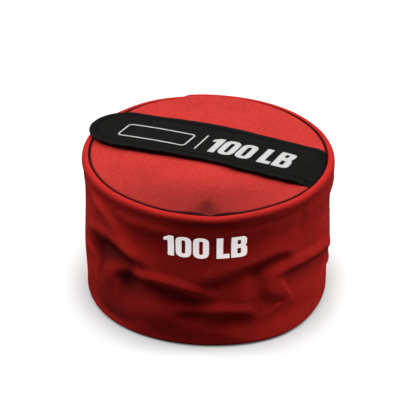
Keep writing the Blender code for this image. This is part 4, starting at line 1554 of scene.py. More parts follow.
@dataclass
class RedBag:
    """The sewn red shell: side, top and base, with the bindings and tape inside its seams."""

    form: BagForm
    ply: float = 1.2 * MM
    columns: int = 430
    wall_rows: int = 92
    top_rows: int = 62
    seam_share: float = 0.3
    """How much of the rim's shift the cut edge of its seam takes."""
    under_share: float = 0.3
    """How much of the wall's relief is left under the base."""
    window_half_length: float = 140.0 * MM
    window_half_width: float = 8.0 * MM
    window_corner: float = 2.0 * MM
    binding_ply: float = 0.6 * MM
    binding_depth: float = 6.0 * MM
    tape_ply: float = 0.6 * MM
    tape_width: float = 26.0 * MM
    seam_tape_turn: float = 7.5
    stitch_turn: float = 1.5
    stitch_lift: float = 0.05 * MM

    def build(self) -> None:
        """Builds and dresses every piece of the shell."""
        dress(self.side_skin(), SIDE_CLOTH_PAINTED_SHADE, Body.BAG, "side_panel")
        dress(self.top_skin(), TOP_CLOTH_PAINTED_LIGHT, Body.BAG, "top_panel")
        dress(self.base_skin(), BASE_CLOTH, Body.BAG, "bottom_panel")
        dress(self.base_second_ply(), BASE_CLOTH, Body.BAG, "bottom_reinforcement")
        dress(self.binding("top", self.form.seam_radius, self.form.allowance_end - GAP, 1.0, True),
              SEAM_TAPE, Body.BAG, "top_seam_binding")
        dress(self.binding("base", self.form.base_seam_radius, self.form.allowance + GAP, -1.0, False),
              SEAM_TAPE, Body.BAG, "bottom_seam_binding")
        dress(self.side_tape(), SEAM_TAPE, Body.BAG, "side_seam_tape")
        dress(self.seam_stitches(), RED_THREAD, Body.BAG)

    def side_angles(self) -> Array:
        """Angles of the side's columns, three times closer together at the upright seam.

        Returns:
            The angles, in radians.
        """
        fine = np.linspace(0.0, math.tau, 4001)
        middle = float(self.form.angle_of(-self.form.back_seam_turn))
        apart = np.abs(np.mod(fine - middle + math.pi, math.tau) - math.pi)
        crowd = 1.0 + 2.0 * bell(np.degrees(apart), 4.0)
        covered = np.concatenate([[0.0], np.cumsum((crowd[1:] + crowd[:-1]) / 2)])
        return np.interp(np.arange(self.columns) / self.columns, covered / covered[-1], fine)

    def side_profile(self) -> list[Array]:
        """Radius and height down the side, in seven parts.

        Returns:
            The seam allowance, the rim's inner and outer half, the wall, the bend under it, the tuck up
            into the base seam and that seam's allowance.
        """
        form = self.form
        inner = (form.seam_radius + GAP / 2 + form.inner_arch, form.rim_height - form.inner_arch)
        under = (form.rim_radius - form.base_inset - form.base_bend, form.base_bend)
        tuck = (under[0], form.base_inner_bend)
        heights = np.linspace(form.wall_top, form.base_bend, self.wall_rows + 1)[1:-1]
        rise = np.linspace(form.allowance_end, inner[1], 6)[:-1]
        return [
            np.column_stack([np.full(rise.shape, inner[0] - form.inner_arch), rise]),
            arc(inner, form.inner_arch, 180, 90, 8),
            arc((inner[0], form.wall_top), form.outer_arch, 90, 0, 12)[1:],
            np.column_stack([form.wall_radius(heights), heights]),
            arc(under, form.base_bend, 0, -90, 8),
            arc(tuck, form.base_inner_bend, -90, -180, 6)[1:],
            np.array([(tuck[0] - form.base_inner_bend, form.allowance)]),
        ]

    def side_skin(self) -> Item:
        """The side: up its seam allowance, over the rolled rim, down the wall and under the base.

        Every row is the profile's radius plus the wall's relief, at the profile's height plus the rim's
        shift; the shift fades out down the wall, and the relief under the base.

        Returns:
            The piece.
        """
        form = self.form
        parts = self.side_profile()
        seam, arch, rim, wall, bend, _, end = np.cumsum([len(part) for part in parts])
        profile = np.vstack(parts)
        radius, height = profile[:, :1], profile[:, 1:]
        angle = self.side_angles()[None]
        drawn = [np.linspace(self.seam_share, 1.0, seam), np.ones(rim - seam),
                 form.draw_share(profile[rim:wall, 1]), np.zeros(end - wall)]
        share = np.concatenate(drawn)[:, None]
        under = np.cos(np.linspace(0.0, math.pi / 2, bend - wall))
        stands = [np.zeros(arch), np.ones(wall - arch), under * (1.0 - self.under_share) + self.under_share,
                  np.linspace(self.under_share, 0.0, end - bend)]
        outward = np.concatenate(stands)[:, None]
        relief = form.relief(angle, np.where(outward > 0, height, form.rim_height)) * outward
        lean, shift = form.drawn(angle)
        face = turned(radius + relief + lean * share * outward, height + shift * share, angle)
        wear_and_painted_light = self.side_wear_and_painted_light(form.turn_of(angle), height, relief, outward, arch)
        cloth = round_cloth(profile, self.side_angles(), form.rim_radius)
        draft = MeshDraft().skin(face, self.ply, cloth, True, "tb", 2, wear_and_painted_light)
        return draft.build("side_skin", CLOTH_EDGE)

    def side_wear_and_painted_light(self, turn: Array, height: Array, relief: Array, outward: Array, arch: int) -> Array:
        """Wear and painted light of the side: paler crests, a rim with painted highlight, and painted shade
        in hollows, foot and seams.

        Args:
            turn: Degrees of the columns from the photograph's front.
            height: Height of the rows.
            relief: How far each point stands out from the smooth wall.
            outward: How much of the relief each row takes.
            arch: Number of rows up to the top of the rim.

        Returns:
            Wear from -1, soiled, to 1, rubbed.
        """
        wear_and_painted_light = np.clip(relief / (4.0 * MM), 0.0, 0.6)
        # Deep hollows get painted shade.
        for amount, start, length in HOLLOW_PAINTED_SHADE:
            wear_and_painted_light = wear_and_painted_light - amount * ease((-relief - start) / length)
        # Painted shade low on the wall and in two pockets.
        painted_shade = sum(foot.at(turn) * ease((top - height) / fade) for foot, top, fade in FOOT_PAINTED_SHADE)
        painted_shade = painted_shade + sum(spot.at(turn, height) for spot in SIDE_PAINTED_SHADE)
        row = np.arange(len(height))[:, None] - arch
        # The rim's crest is rubbed and has a painted highlight; a spot of the upper wall gets painted
        # light.
        crest = 0.5 * bell(row - 1, 4.0) + UPPER_WALL_PAINTED_LIGHT.at(turn, height)
        # The band of wall right under the rim gets painted shade.
        below = ease((row - 3.0) / 6.0) * ease((height - 0.222) / 0.010)
        foot = ease((0.012 - height) / 0.012)
        wear_and_painted_light = wear_and_painted_light + crest + (foot - painted_shade) * outward - below * UNDER_RIM_PAINTED_SHADE.at(turn)
        wear_and_painted_light = np.clip(wear_and_painted_light, -1.0, 1.0)
        # The seam allowance and the rim's inner side, down in the groove, get full painted shade.
        wear_and_painted_light[:arch - 4] = -1.0
        return wear_and_painted_light

    def window_outline(self, angle: Array) -> Array:
        """Outline of the zip's window, its long sides spread over most of the turn round the middle.

        Below 18 degrees the point runs up the short side, then through the corner to 22, then along the
        long side by the cosine of the angle; the other quarters mirror the first.

        Args:
            angle: Angles round the middle.

        Returns:
            Points in plan.
        """
        quarter = np.degrees(np.arcsin(np.abs(np.sin(angle))))
        long, wide, corner = self.window_half_length, self.window_half_width, self.window_corner
        turn = np.radians(90.0 * np.clip((quarter - 18.0) / 4.0, 0.0, 1.0))
        x = long - corner + corner * np.cos(turn)
        y = (wide - corner) * np.minimum(quarter / 18.0, 1.0) + corner * np.sin(turn)
        along = (long - corner) * np.cos(np.radians(quarter)) / math.cos(math.radians(22.0))
        x = np.where(quarter > 22.0, along, x)
        across = self.form.zip_line + y * np.sign(np.sin(angle))
        return np.stack([x * np.sign(np.cos(angle)), across], axis=-1)

    def top_skin(self) -> Item:
        """The top: from the zip's window out over the dome, down the shoulder and the seam allowance.

        Each row is a mix of the window's outline and the circle where the shoulder starts.

        Returns:
            The piece.
        """
        form = self.form
        angle = even_angles(360) + math.radians(0.5)
        start = self.window_outline(angle)
        share = np.linspace(0.0, 1.0, self.top_rows)
        share = 0.55 * share + 0.45 * (0.5 - 0.5 * np.cos(math.pi * share))
        plan = start[None] + (form.crown_end * ring_of(angle) - start)[None] * share[:, None, None]
        top = np.concatenate([plan, form.top_height(plan[..., 0], plan[..., 1])[..., None]], axis=2)
        turn = np.linspace(0.0, math.pi / 2, 7)[1:, None]
        shoulder = form.crown_end + form.shoulder_bend * np.sin(turn)
        bend = turned(shoulder, top[-1, :, 2] - form.shoulder_bend * (1.0 - np.cos(turn)), angle[None])
        drops = np.linspace(0.0, 1.0, 5)[1:, None]
        ends = bend[-1, :, 2] + (form.allowance_end - bend[-1, :, 2]) * drops
        outer = np.concatenate([top, bend, turned(shoulder[-1:], ends, angle[None])])
        cloth = np.concatenate([outer[..., :2], outer[:, :1, :2]], axis=1)
        wear_and_painted_light = self.top_painted_shade(outer[..., 0], outer[..., 1])
        draft = MeshDraft().skin(outer, self.ply, cloth, True, "tb", 2, wear_and_painted_light)
        return draft.build("top_skin", CLOTH_EDGE)

    def top_painted_shade(self, x: Array, y: Array) -> Array:
        """Painted shade of the top, below zero: in its seam, along its front edge and in the dimple's
        triangle.

        Args:
            x: Places along X.
            y: Places along Y.

        Returns:
            The painted shade at each place: 0 where there is none, and below zero where it darkens.
        """
        radius, angle = np.hypot(x, y), np.arctan2(y, x)
        # Painted shade down into the seam's groove, less at the back, over the front half, and a painted
        # shadow in the dimple's triangle.
        from_seam = ease((radius - self.form.crown_end - 1.4 * MM) / (3.4 * MM))
        seam = (1.0 - 0.9 * self.form.behind(angle, 45.0)) * from_seam
        front = TOP_FRONT_PAINTED_SHADE.at(self.form.turn_of(angle)) * ease((radius - 0.070) / 0.100)
        across, outward = self.form.from_dimple(x, y)
        half_width = 0.004 + 0.42 * np.clip(outward + 0.031, 0.0, 0.040)
        triangle = 0.34 * bell(across + 0.003, half_width) * ease((outward + 0.034) / 0.014)
        return -seam - front - triangle

    def base_skin(self) -> Item:
        """The base: down its seam allowance, round its bend and in to the middle, just off the floor.

        Returns:
            The base's outer cloth.
        """
        form = self.form
        edge = form.base_seam_radius - GAP / 2
        bend = arc((edge - form.base_inner_bend, form.base_inner_bend), form.base_inner_bend, 0, -90, 6)
        radii = np.linspace(bend[-1, 0], 0.0, 34)[1:]
        flat = np.column_stack([radii, np.zeros(radii.shape)])
        profile = np.vstack([[(edge, form.allowance)], bend, flat])
        radius, height = profile[:, :1], profile[:, 1:]
        angle = even_angles(240)
        waves = Ripples(5, 0.35 * MM, 9, 0.0, 8).at(angle[None], 0.0)
        lift = (0.45 * MM + waves) * ease((edge - radius) / 0.030) * ease(radius / 0.020)
        outer = turned(radius, height + np.clip(lift, 0.0, None), angle[None])
        wear_and_painted_light = 0.35 + 0.5 * ease((radius - 0.15) / 0.03)
        cloth = round_cloth(profile, angle, edge)
        draft = MeshDraft().skin(outer, self.ply, cloth, True, "t", 1, wear_and_painted_light)
        return draft.build("base_skin", CLOTH_EDGE)

    def base_second_ply(self) -> Item:
        """The second ply in the base: a disc that follows the first, with round edges.

        Returns:
            The disc.
        """
        low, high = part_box("bottom_reinforcement")
        lift = 0.3 * MM
        plan = high.x * ring_of(even_angles(200))
        return MeshDraft().slab(plan, low.z + lift, high.z + lift, self.ply / 2).build("base_second_ply")

    def binding(self, place: str, seam: float, floor: float, side: float, follows_rim: bool) -> Item:
        """Tape folded round two seam allowances: a rounded U turned round +Z, with a slightly wavy edge.

        Args:
            place: Which seam it is on, for the piece's name.
            seam: Radius of the seam.
            floor: Height of the tape's inner face where it folds.
            side: 1 where the U opens upward and -1 where it opens down.
            follows_rim: Whether it moves up and down with the rim.

        Returns:
            The piece.
        """
        half = GAP / 2 + self.ply + GAP
        full = half + self.binding_ply
        bend = arc((0.0, 0.0), 1.0, 0, -180, 8) * (full, self.binding_ply)
        tip = arc((0.0, 0.0), self.binding_ply / 2, 180, 0, 4)
        lip = full - self.binding_ply / 2
        outer_lip, inner_lip = (tip + (x, self.binding_depth) for x in (lip, -lip))
        section = np.vstack([bend, inner_lip, [(-half, 0.0)], [(half, 0.0)], outer_lip])
        angle = even_angles(220)
        waves = Ripples(11, 0.35 * MM, 40, 0.0, 10).at(angle[None], 0.0)
        to_lip = np.clip(section[:, 1:] / self.binding_depth, 0.0, 1.0)
        height = floor + side * (section[:, 1:] + waves * to_lip)
        if follows_rim:
            height = height + 0.3 * self.form.rim_shift(angle[None])
        covered = travelled(section)
        cloth = cloth_grid(np.append(covered, covered[-1] + MM), np.append(angle, math.tau) * seam)
        rings = turned(seam + section[:, :1], height, angle[None])
        return MeshDraft().tube(rings, True, cloth, flip=side < 0).build(f"{place}_seam_cloth_binding")

    def wall_face(self, angle: Array, heights: Array, lift: float) -> Array:
        """Points of the folded wall at angles and heights, lifted off it or drawn in."""
        radius = self.form.wall_radius(heights) + self.form.relief(angle, heights) + lift
        return turned(radius, heights, angle)

    def side_tape(self) -> Item:
        """Tape inside the upright seam: the wall's own shape, drawn in past its cloth, with wavy edges.

        Returns:
            The tape.
        """
        low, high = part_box("side_seam_tape")
        middle = float(self.form.angle_of(-self.form.back_seam_turn))
        heights = np.linspace(high.z, low.z, 70)[:, None]
        across = np.linspace(-0.5, 0.5, 9)[None]
        waves = 0.02 * np.sin(heights * 410.0 + across * 3.0)
        angle = middle + math.radians(self.seam_tape_turn) * (across + waves * np.abs(across) * 2)
        outer = self.wall_face(angle, heights, -(self.ply + GAP + 0.5 * MM))
        cloth = cloth_grid(heights[:, 0], across[0] * self.tape_width)
        return MeshDraft().skin(outer, self.tape_ply, cloth, False, "tblr").build("side_seam_cloth_tape")

    def seam_stitches(self) -> Item:
        """Rows of red stitches: both sides of the upright seam, and round the zip's window.

        Returns:
            All the stitches, as one object.
        """
        form = self.form
        row = StitchRow()
        draft = MeshDraft()
        heights = np.linspace(0.226, 0.014, 160)
        for offset in (-self.stitch_turn, self.stitch_turn):
            angle = np.full(heights.shape, float(form.angle_of(-form.back_seam_turn + offset)))
            normal = turned(np.ones(heights.shape), np.zeros(heights.shape), angle)
            row.sew(draft, self.wall_face(angle, heights, self.stitch_lift), normal)
        reach = 3.0 * MM
        long, wide = self.window_half_length + reach, self.window_half_width + reach
        plan = rounded_outline(long, wide, self.window_corner + reach)
        plan = spaced(np.vstack([plan, plan[:1]]), 400) + (0.0, form.zip_line)
        height = form.top_height(plan[:, 0], plan[:, 1]) + self.stitch_lift
        row.sew(draft, np.column_stack([plan, height]), np.tile(UP, (len(plan), 1)))
        return draft.build("red_stitches")


@dataclass
class SidePrint:
    """The weight printed on the side, under the rim."""

    form: BagForm
    low: float = 166.0 * MM
    height: float = 39.0 * MM
    middle_turn: float = -0.75
    spread_turn: float = 37.5
    cell: float = 2.5 * MM

    def build(self) -> None:
        """Builds and dresses the print."""
        outlines, width = lettering(WEIGHT_TEXT)
        reach = math.radians(self.spread_turn) * self.form.rim_radius
        shapes = [outline * (reach / width, self.height) + (-reach / 2, 0.0) for outline in outlines]
        dress(printed("side_weight_print", shapes, self.on_side, self.cell), SIDE_PRINT, Body.BAG)

    def on_side(self, x: Array, y: Array) -> Array:
        """Points on the wall for places across and up the print."""
        turn = self.middle_turn + np.degrees(x / self.form.rim_radius)
        return self.form.side_point(turn, self.low + y, INK_LIFT)


# The zip under the flap


def flat_grid(node: str, corner: float, columns: int, rows: int) -> tuple[Array, Array]:
    """A grid over a CAD node's plan with round corners: each row is as long as the outline is there.

    Args:
        node: The CAD node.
        corner: Radius of its corners.
        columns: Columns along X.
        rows: Rows across Y, closer together at the edges.

    Returns:
        The X and Y of the grid.
    """
    _, _, middle, half = span(node)
    y = half.y * np.sin(np.linspace(-math.pi / 2, math.pi / 2, rows))
    over = np.clip(np.abs(y) - (half.y - corner), 0.0, corner)
    reach = half.x - corner + np.sqrt(corner**2 - over**2)
    x = reach[:, None] * np.linspace(-1.0, 1.0, columns)[None]
    return middle.x + x, middle.y + np.broadcast_to(y[:, None], x.shape)


@dataclass
class Zip:
    """The zip that closes the top: two tapes, two coils, four stops and a slider with a cord pull."""

    form: BagForm
    coil_wire: float = 0.34 * MM
    coil_pitch: float = 2.0 * MM
    wire_sides: int = 5
    points_a_turn: int = 8

    def build(self) -> None:
        """Builds and dresses every piece of the zip."""
        for side, sign in (("near", -1.0), ("far", 1.0)):
            dress(self.tape(side), ZIP_TAPE, Body.BAG, f"zipper_tape_{side}")
            dress(self.coil(side, sign), ZIP_COIL, Body.BAG, f"zipper_coil_{side}")
            dress(self.stop(f"zipper_top_stop_{side}"), ZIP_METAL, Body.BAG, f"zipper_top_stop_{side}")
        dress(self.stop("zipper_bottom_stop"), ZIP_METAL, Body.BAG, "zipper_bottom_stop")
        dress(self.slider(), ZIP_METAL, Body.SLIDER, "zipper_slider")
        dress(self.cord(), PULL_CORD, Body.SLIDER, "zipper_pull_cord")
        dress(self.grip(), GRIP_RUBBER, Body.SLIDER, "zipper_pull_grip")

    def tape(self, side: str) -> Item:
        """One half of the zip's tape: a flat strip, a little uneven, that follows the dome.

        Args:
            side: The half's side, as in its node's name.

        Returns:
            The strip.
        """
        low, high, _, _ = span(f"zipper_tape_{side}")
        x, y = flat_grid(f"zipper_tape_{side}", 0.5 * MM, 140, 12)
        top = high.z + self.form.settle(x, y) + 0.06 * MM * np.sin(x * 260.0) * np.cos(y * 90.0)
        return MeshDraft().strip(x, y, top, top - (high.z - low.z)).build(f"zip_tape_{side}")

    def coil(self, side: str, sign: float) -> Item:
        """One row of coil: a wire wound in a flat helix, its turns leaning the way it is sewn on.

        The wire's middle goes round an ellipse across the zip as it advances along it by one pitch a turn.

        Args:
            side: Which row.
            sign: -1 for the near row and 1 for the far one.

        Returns:
            The piece.
        """
        _, _, middle, half = span(f"zipper_coil_{side}")
        turns = int(2 * (half.x - self.coil_wire) / self.coil_pitch)
        phase = np.arange(turns * self.points_a_turn + 1) / self.points_a_turn
        angle = math.tau * phase
        lean = 0.18 * np.sin(angle) + 0.25 * sign
        x = middle.x + (phase - turns / 2 + lean) * self.coil_pitch
        bulge = 0.3 * MM * bell(np.cos(angle) - 1.0, 0.4)
        y = middle.y - sign * ((half.y - self.coil_wire) * np.cos(angle) + bulge)
        z = middle.z + (half.z - self.coil_wire) * np.sin(angle) + self.form.settle(x, y)
        path = np.column_stack([x, y, z])
        radius = self.coil_wire * round_ends(len(path), 2)
        rings = tube_rings(path, radius, (1.0, 0.0, 0.0), self.wire_sides)
        return MeshDraft().tube(rings).build(f"zip_coil_{side}", CLOTH_EDGE)

    def stop(self, node: str) -> Item:
        """A clip pressed over the coil: a rounded block with a pinched waist and a crimp across it.

        Args:
            node: The stop's node.

        Returns:
            The clip.
        """
        low, high, middle, half = span(node)
        plan = rounded_outline(half.x, half.y, 0.5 * MM, 4)
        plan[:, 1:] *= 1.0 - 0.10 * bell(plan[:, :1] / half.x, 0.45)
        rings = slab_rings(plan + (middle.x, middle.y), low.z, high.z, 0.4 * MM)
        crimp = 0.25 * MM * bell((rings[..., 0] - middle.x) / half.x, 0.3) * (rings[..., 2] > middle.z)
        rings[..., 2] += self.form.settle(rings[..., 0], rings[..., 1]) - crimp
        return MeshDraft().tube(rings, flip=True).build(node.replace("zipper", "zip") + "_clip")

    def slider(self) -> Item:
        """The slider: two plates with turned-down lips round a diamond, and a bridge over the top plate.

        Returns:
            The slider.
        """
        low, high, middle, half = span("zipper_slider")
        centre = np.array((middle.x, middle.y))
        roof = high.z - 1.15 * MM
        floor = roof - 0.95 * MM
        turn = np.linspace(-math.pi / 2, math.pi / 2, 13)
        nose = np.column_stack([half.x * np.sin(turn), half.y * (0.80 + 0.20 * np.cos(2 * turn + 0.6))])
        plate = np.vstack([nose * (1.0, -1.0), nose[::-1]]) + centre
        post = rounded_outline(1.6 * MM, 0.28 * MM, 0.25 * MM, 3) + centre - (3.2 * MM, 0.0)
        lip = rounded_outline(4.4 * MM, 0.42 * MM, 0.4 * MM, 3) + centre
        draft = MeshDraft().slab(plate, low.z, low.z + 0.7 * MM, 0.28 * MM)
        draft.slab(plate, floor, roof, 0.28 * MM)
        draft.slab(post, low.z + 0.3 * MM, roof - 0.3 * MM, 0.05 * MM)
        for aside in (0.45 * MM - half.y, half.y - 0.45 * MM):
            draft.slab(lip + (0.0, aside), floor - 1.1 * MM, roof - 0.2 * MM, 0.25 * MM)
        turn = np.linspace(0.0, math.pi, 17)
        sunk = roof - 0.25 * MM
        rise = (high.z - 0.20 * MM - sunk) * np.sqrt(np.sin(turn).clip(0.0))
        bridge = np.column_stack([middle.x + 3.1 * MM * np.cos(turn), np.full(17, middle.y), sunk + rise])
        rings = tube_rings(bridge, 0.5, (0.0, 1.0, 0.0), 8) - bridge[:, None]
        rings = bridge[:, None] + rings * (0.4 * MM, 1.5 * MM, 0.4 * MM)
        poles = np.repeat(bridge[[0, -1], None], 8, axis=1)
        return draft.tube(np.concatenate([poles[:1], rings, poles[1:]])).build("zip_slider", CRISP_EDGE)

    def cord(self) -> Item:
        """The pull's braided cord: a loop through the bridge whose two ends meet in the grip.

        Returns:
            The cord.
        """
        low, high, middle, half = span("zipper_pull_cord")
        side = half.y - half.z
        loop = arc((low.x + half.y, middle.y), side, 90, 270, 12)
        ends = [(high.x + 2 * MM, middle.y + aside) for aside in (0.75 * side, -0.75 * side)]
        path = spaced(softened([ends[0], *loop, ends[1]], 1), 90)
        path = np.column_stack([path, middle.z + 0.05 * MM * np.sin(path[:, 0] * 700.0)])
        braid = 1.0 + 0.05 * np.sin(np.arange(len(path)) * 2.1)
        rings = tube_rings(path, half.z * braid * round_ends(len(path)), UP, 10)
        cloth = cloth_grid(np.linspace(0.0, 0.045, len(path)), np.linspace(0.0, math.tau * half.z, 11))
        return MeshDraft().tube(rings, cloth=cloth).build("zip_pull_cord")

    def grip(self) -> Item:
        """The moulded grip: a flat tapered bar with five ribs across its faces.

        Returns:
            The grip.
        """
        low, high, middle, half = span("zipper_pull_grip")
        plan = rounded_outline(half.x, half.y, 2.0 * MM)
        plan[:, 1:] *= 1.0 - 0.18 * ease((half.x - plan[:, :1]) / (2 * half.x))
        plan = spaced(np.vstack([plan, plan[:1]]), 73)[:-1] + (middle.x, middle.y)
        rings = slab_rings(plan, low.z, high.z, half.z * 0.8)
        out = rings - (middle.x, middle.y, 0.0)
        rib = np.sin((out[..., 0] / half.x) * 2.5 * math.tau) * (np.abs(out[..., 0]) < 0.72 * half.x)
        rings[..., 1] = middle.y + out[..., 1] * (1.0 + 0.05 * rib)
        return MeshDraft().tube(rings, flip=True).build("zip_pull_grip", MOULDED_EDGE)


# Hook and loop tape, and the flap


HOOK = ((0, 0, 0), (0, 0, 0.26), (0, 0.45, 0.20), (0.10, 0.80, 0.17), (0.42, 0.93, 0.15), (0.60, 0.70, 0))
"""Stations of a hook: how far along and down each lies and its radius, in millimetres."""


@dataclass
class FlapForm:
    """Shape of the flap: a strip with a round tip that follows the dome and dives into the rim seam."""

    form: BagForm
    half: float = 57.0 * MM
    root_y: float = 15.0 * MM
    skew: float = 0.023
    root_x: float = 155.0 * MM
    end_radius: float = 191.1 * MM
    upper_ply: float = 0.9 * MM
    upper_top: float = 2.2 * MM
    edge_radius: float = 2.1 * MM
    edge_rise: float = 1.85 * MM
    edge_middle: float = 0.85 * MM
    lip_reach: float = 9.0 * MM
    groove_inset: float = 13.0 * MM
    second_inset: float = 22.5 * MM
    groove_drop: float = 1.7 * MM
    second_drop: float = 0.35 * MM
    tip_radius: float = 160.0 * MM
    tip_fall: float = 2.6 * MM
    root_start: float = 157.0 * MM
    root_run: float = 21.0 * MM
    edge_run: float = 20.0 * MM
    sewn_start: float = 168.0 * MM
    sewn_run: float = 18.0 * MM
    pull_rise: float = 2.2 * MM
    near_lift: Stations = (
        (-0.210, 0.0), (-0.160, 0.0024), (-0.110, 0.0040), (-0.060, 0.0030), (-0.005, 0.0016),
        (0.040, 0.0012), (0.065, 0.0028), (0.090, 0.0012), (0.115, 0.0026), (0.150, 0.0010),
        (0.190, -0.0010))
    near_swell: Stations = (
        (-0.210, 0.0), (-0.165, 0.004), (-0.130, 0.0085), (-0.090, 0.0080), (-0.040, 0.004),
        (0.015, 0.0005), (0.040, 0.001), (0.068, 0.0065), (0.092, 0.005), (0.115, 0.0075),
        (0.150, 0.005), (0.190, -0.005))
    far_lift: Stations = (
        (-0.210, -0.0008), (-0.155, -0.0020), (-0.112, -0.0026), (-0.072, -0.0006), (-0.030, 0.0007),
        (0.030, 0.0002), (0.070, -0.0014), (0.110, -0.0024), (0.190, -0.0024))

    @property
    def tip_x(self) -> float:
        """X of the tip's round middle."""
        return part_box("flap_upper_ply")[0].x + self.half

    @property
    def low(self) -> float:
        """CAD height of the flap's underside."""
        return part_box("hook_tape_near")[1].z + GAP

    def centre_y(self, x: Array) -> Array:
        """Y of the flap's centre line, which runs a little askew."""
        return self.root_y - self.skew * (self.root_x - x)

    def askew(self, x: Array) -> Array:
        """How far the flap's centre line lies across from the zip."""
        return self.centre_y(x) - self.form.zip_line

    def inset_of(self, x: Array, y: Array) -> Array:
        """Distance from the flap's edge, inward, at a place in plan."""
        across = y - self.centre_y(x)
        return self.half - np.where(x > self.tip_x, np.abs(across), np.hypot(x - self.tip_x, across))

    def rest(self, x: Array, y: Array) -> Array:
        """Height of the flap's underside: on the tapes, lower at the tip, and on the top at the root.

        Args:
            x: Place along the flap.
            y: Place across it.

        Returns:
            The height, with the lift of the flap's edges and its waves.
        """
        radius = np.hypot(x, y)
        held = np.minimum(radius, self.tip_radius) / np.maximum(radius, MM)
        level = self.low + self.form.settle(x * held, y * held)
        level = level - self.tip_fall * ease((radius - self.tip_radius) / 0.050) * (x < 0)
        root = self.form.top_height(x, y) + 1.25 * MM * self.squeeze(x)
        share = ease((x - self.root_start) / self.root_run)
        lift = np.where(y > self.centre_y(x), through(x, self.far_lift), through(x, self.near_lift))
        lift = lift * ease(1.0 - self.inset_of(x, y) / self.edge_run)
        waves = 0.25 * MM * np.sin(x * 37.0 + 1.1) * np.sin(y * 31.0 + x * 12.0)
        over_pull = self.pull_rise * bell(y - self.form.zip_line, 0.013) * ease((x - 0.095) / 0.035)
        return (level + lift + waves + over_pull) * (1.0 - share) + root * share

    def squeeze(self, x: Array) -> Array:
        """Thickness left of the flap: all of it, down to six tenths where it is sewn in."""
        return 1.0 - 0.4 * ease((x - self.sewn_start) / self.sewn_run)

    def plan(self, insets: Array, along: int, round_tip: int) -> tuple[Array, Array]:
        """Plan of the flap as a grid: from the far root to the tip, round it, and back to the near root.

        Columns on the straights share out the length to the seam circle at that row; columns of the tip
        turn round its middle at the row's radius.

        Args:
            insets: Distance of each row from the edge.
            along: Columns on each straight side.
            round_tip: Columns round the tip.

        Returns:
            The X and Y of the grid.
        """
        radius = (self.half - insets)[:, None]
        share = np.linspace(1.0, 0.0, along)[None]
        end_y = self.centre_y(0.180)
        far_end = np.sqrt(self.end_radius**2 - np.square(end_y + radius))
        near_end = np.sqrt(self.end_radius**2 - np.square(end_y - radius))
        turn = np.linspace(math.pi / 2, 1.5 * math.pi, round_tip)[None, 1:-1]
        far_x = self.tip_x + share * (far_end - self.tip_x)
        near_x = self.tip_x + share[:, ::-1] * (near_end - self.tip_x)
        x = np.concatenate([far_x, self.tip_x + radius * np.cos(turn), near_x], axis=1)
        across = np.concatenate([radius + 0 * share, radius * np.sin(turn), -radius + 0 * share], axis=1)
        swell = 1.0 + (across < 0.0) * through(x, self.near_swell) / self.half
        return x, self.centre_y(x) + across * swell

    def surface(self, insets: Array, heights: Array, along: int, round_tip: int) -> Array:
        """Points of a sheet in the flap at given distances from its edge and heights over its underside.

        Args:
            insets: Distances in from the edge.
            heights: Heights over the underside, one for each distance.
            along: Points along each straight run.
            round_tip: Points round the tip.

        Returns:
            The points, as an array with a last axis of three.
        """
        x, y = self.plan(insets, along, round_tip)
        held_x, held_y = self.plan(np.maximum(insets, 0.0), along, round_tip)
        z = self.rest(held_x, held_y) + heights[:, None] * self.squeeze(held_x)
        return np.stack([x, y, z], axis=-1)

    def top_of(self, x: Array, y: Array) -> Array:
        """Height of the upper ply's face at a place in plan."""
        return self.rest(x, y) + self.upper_top * self.squeeze(x)


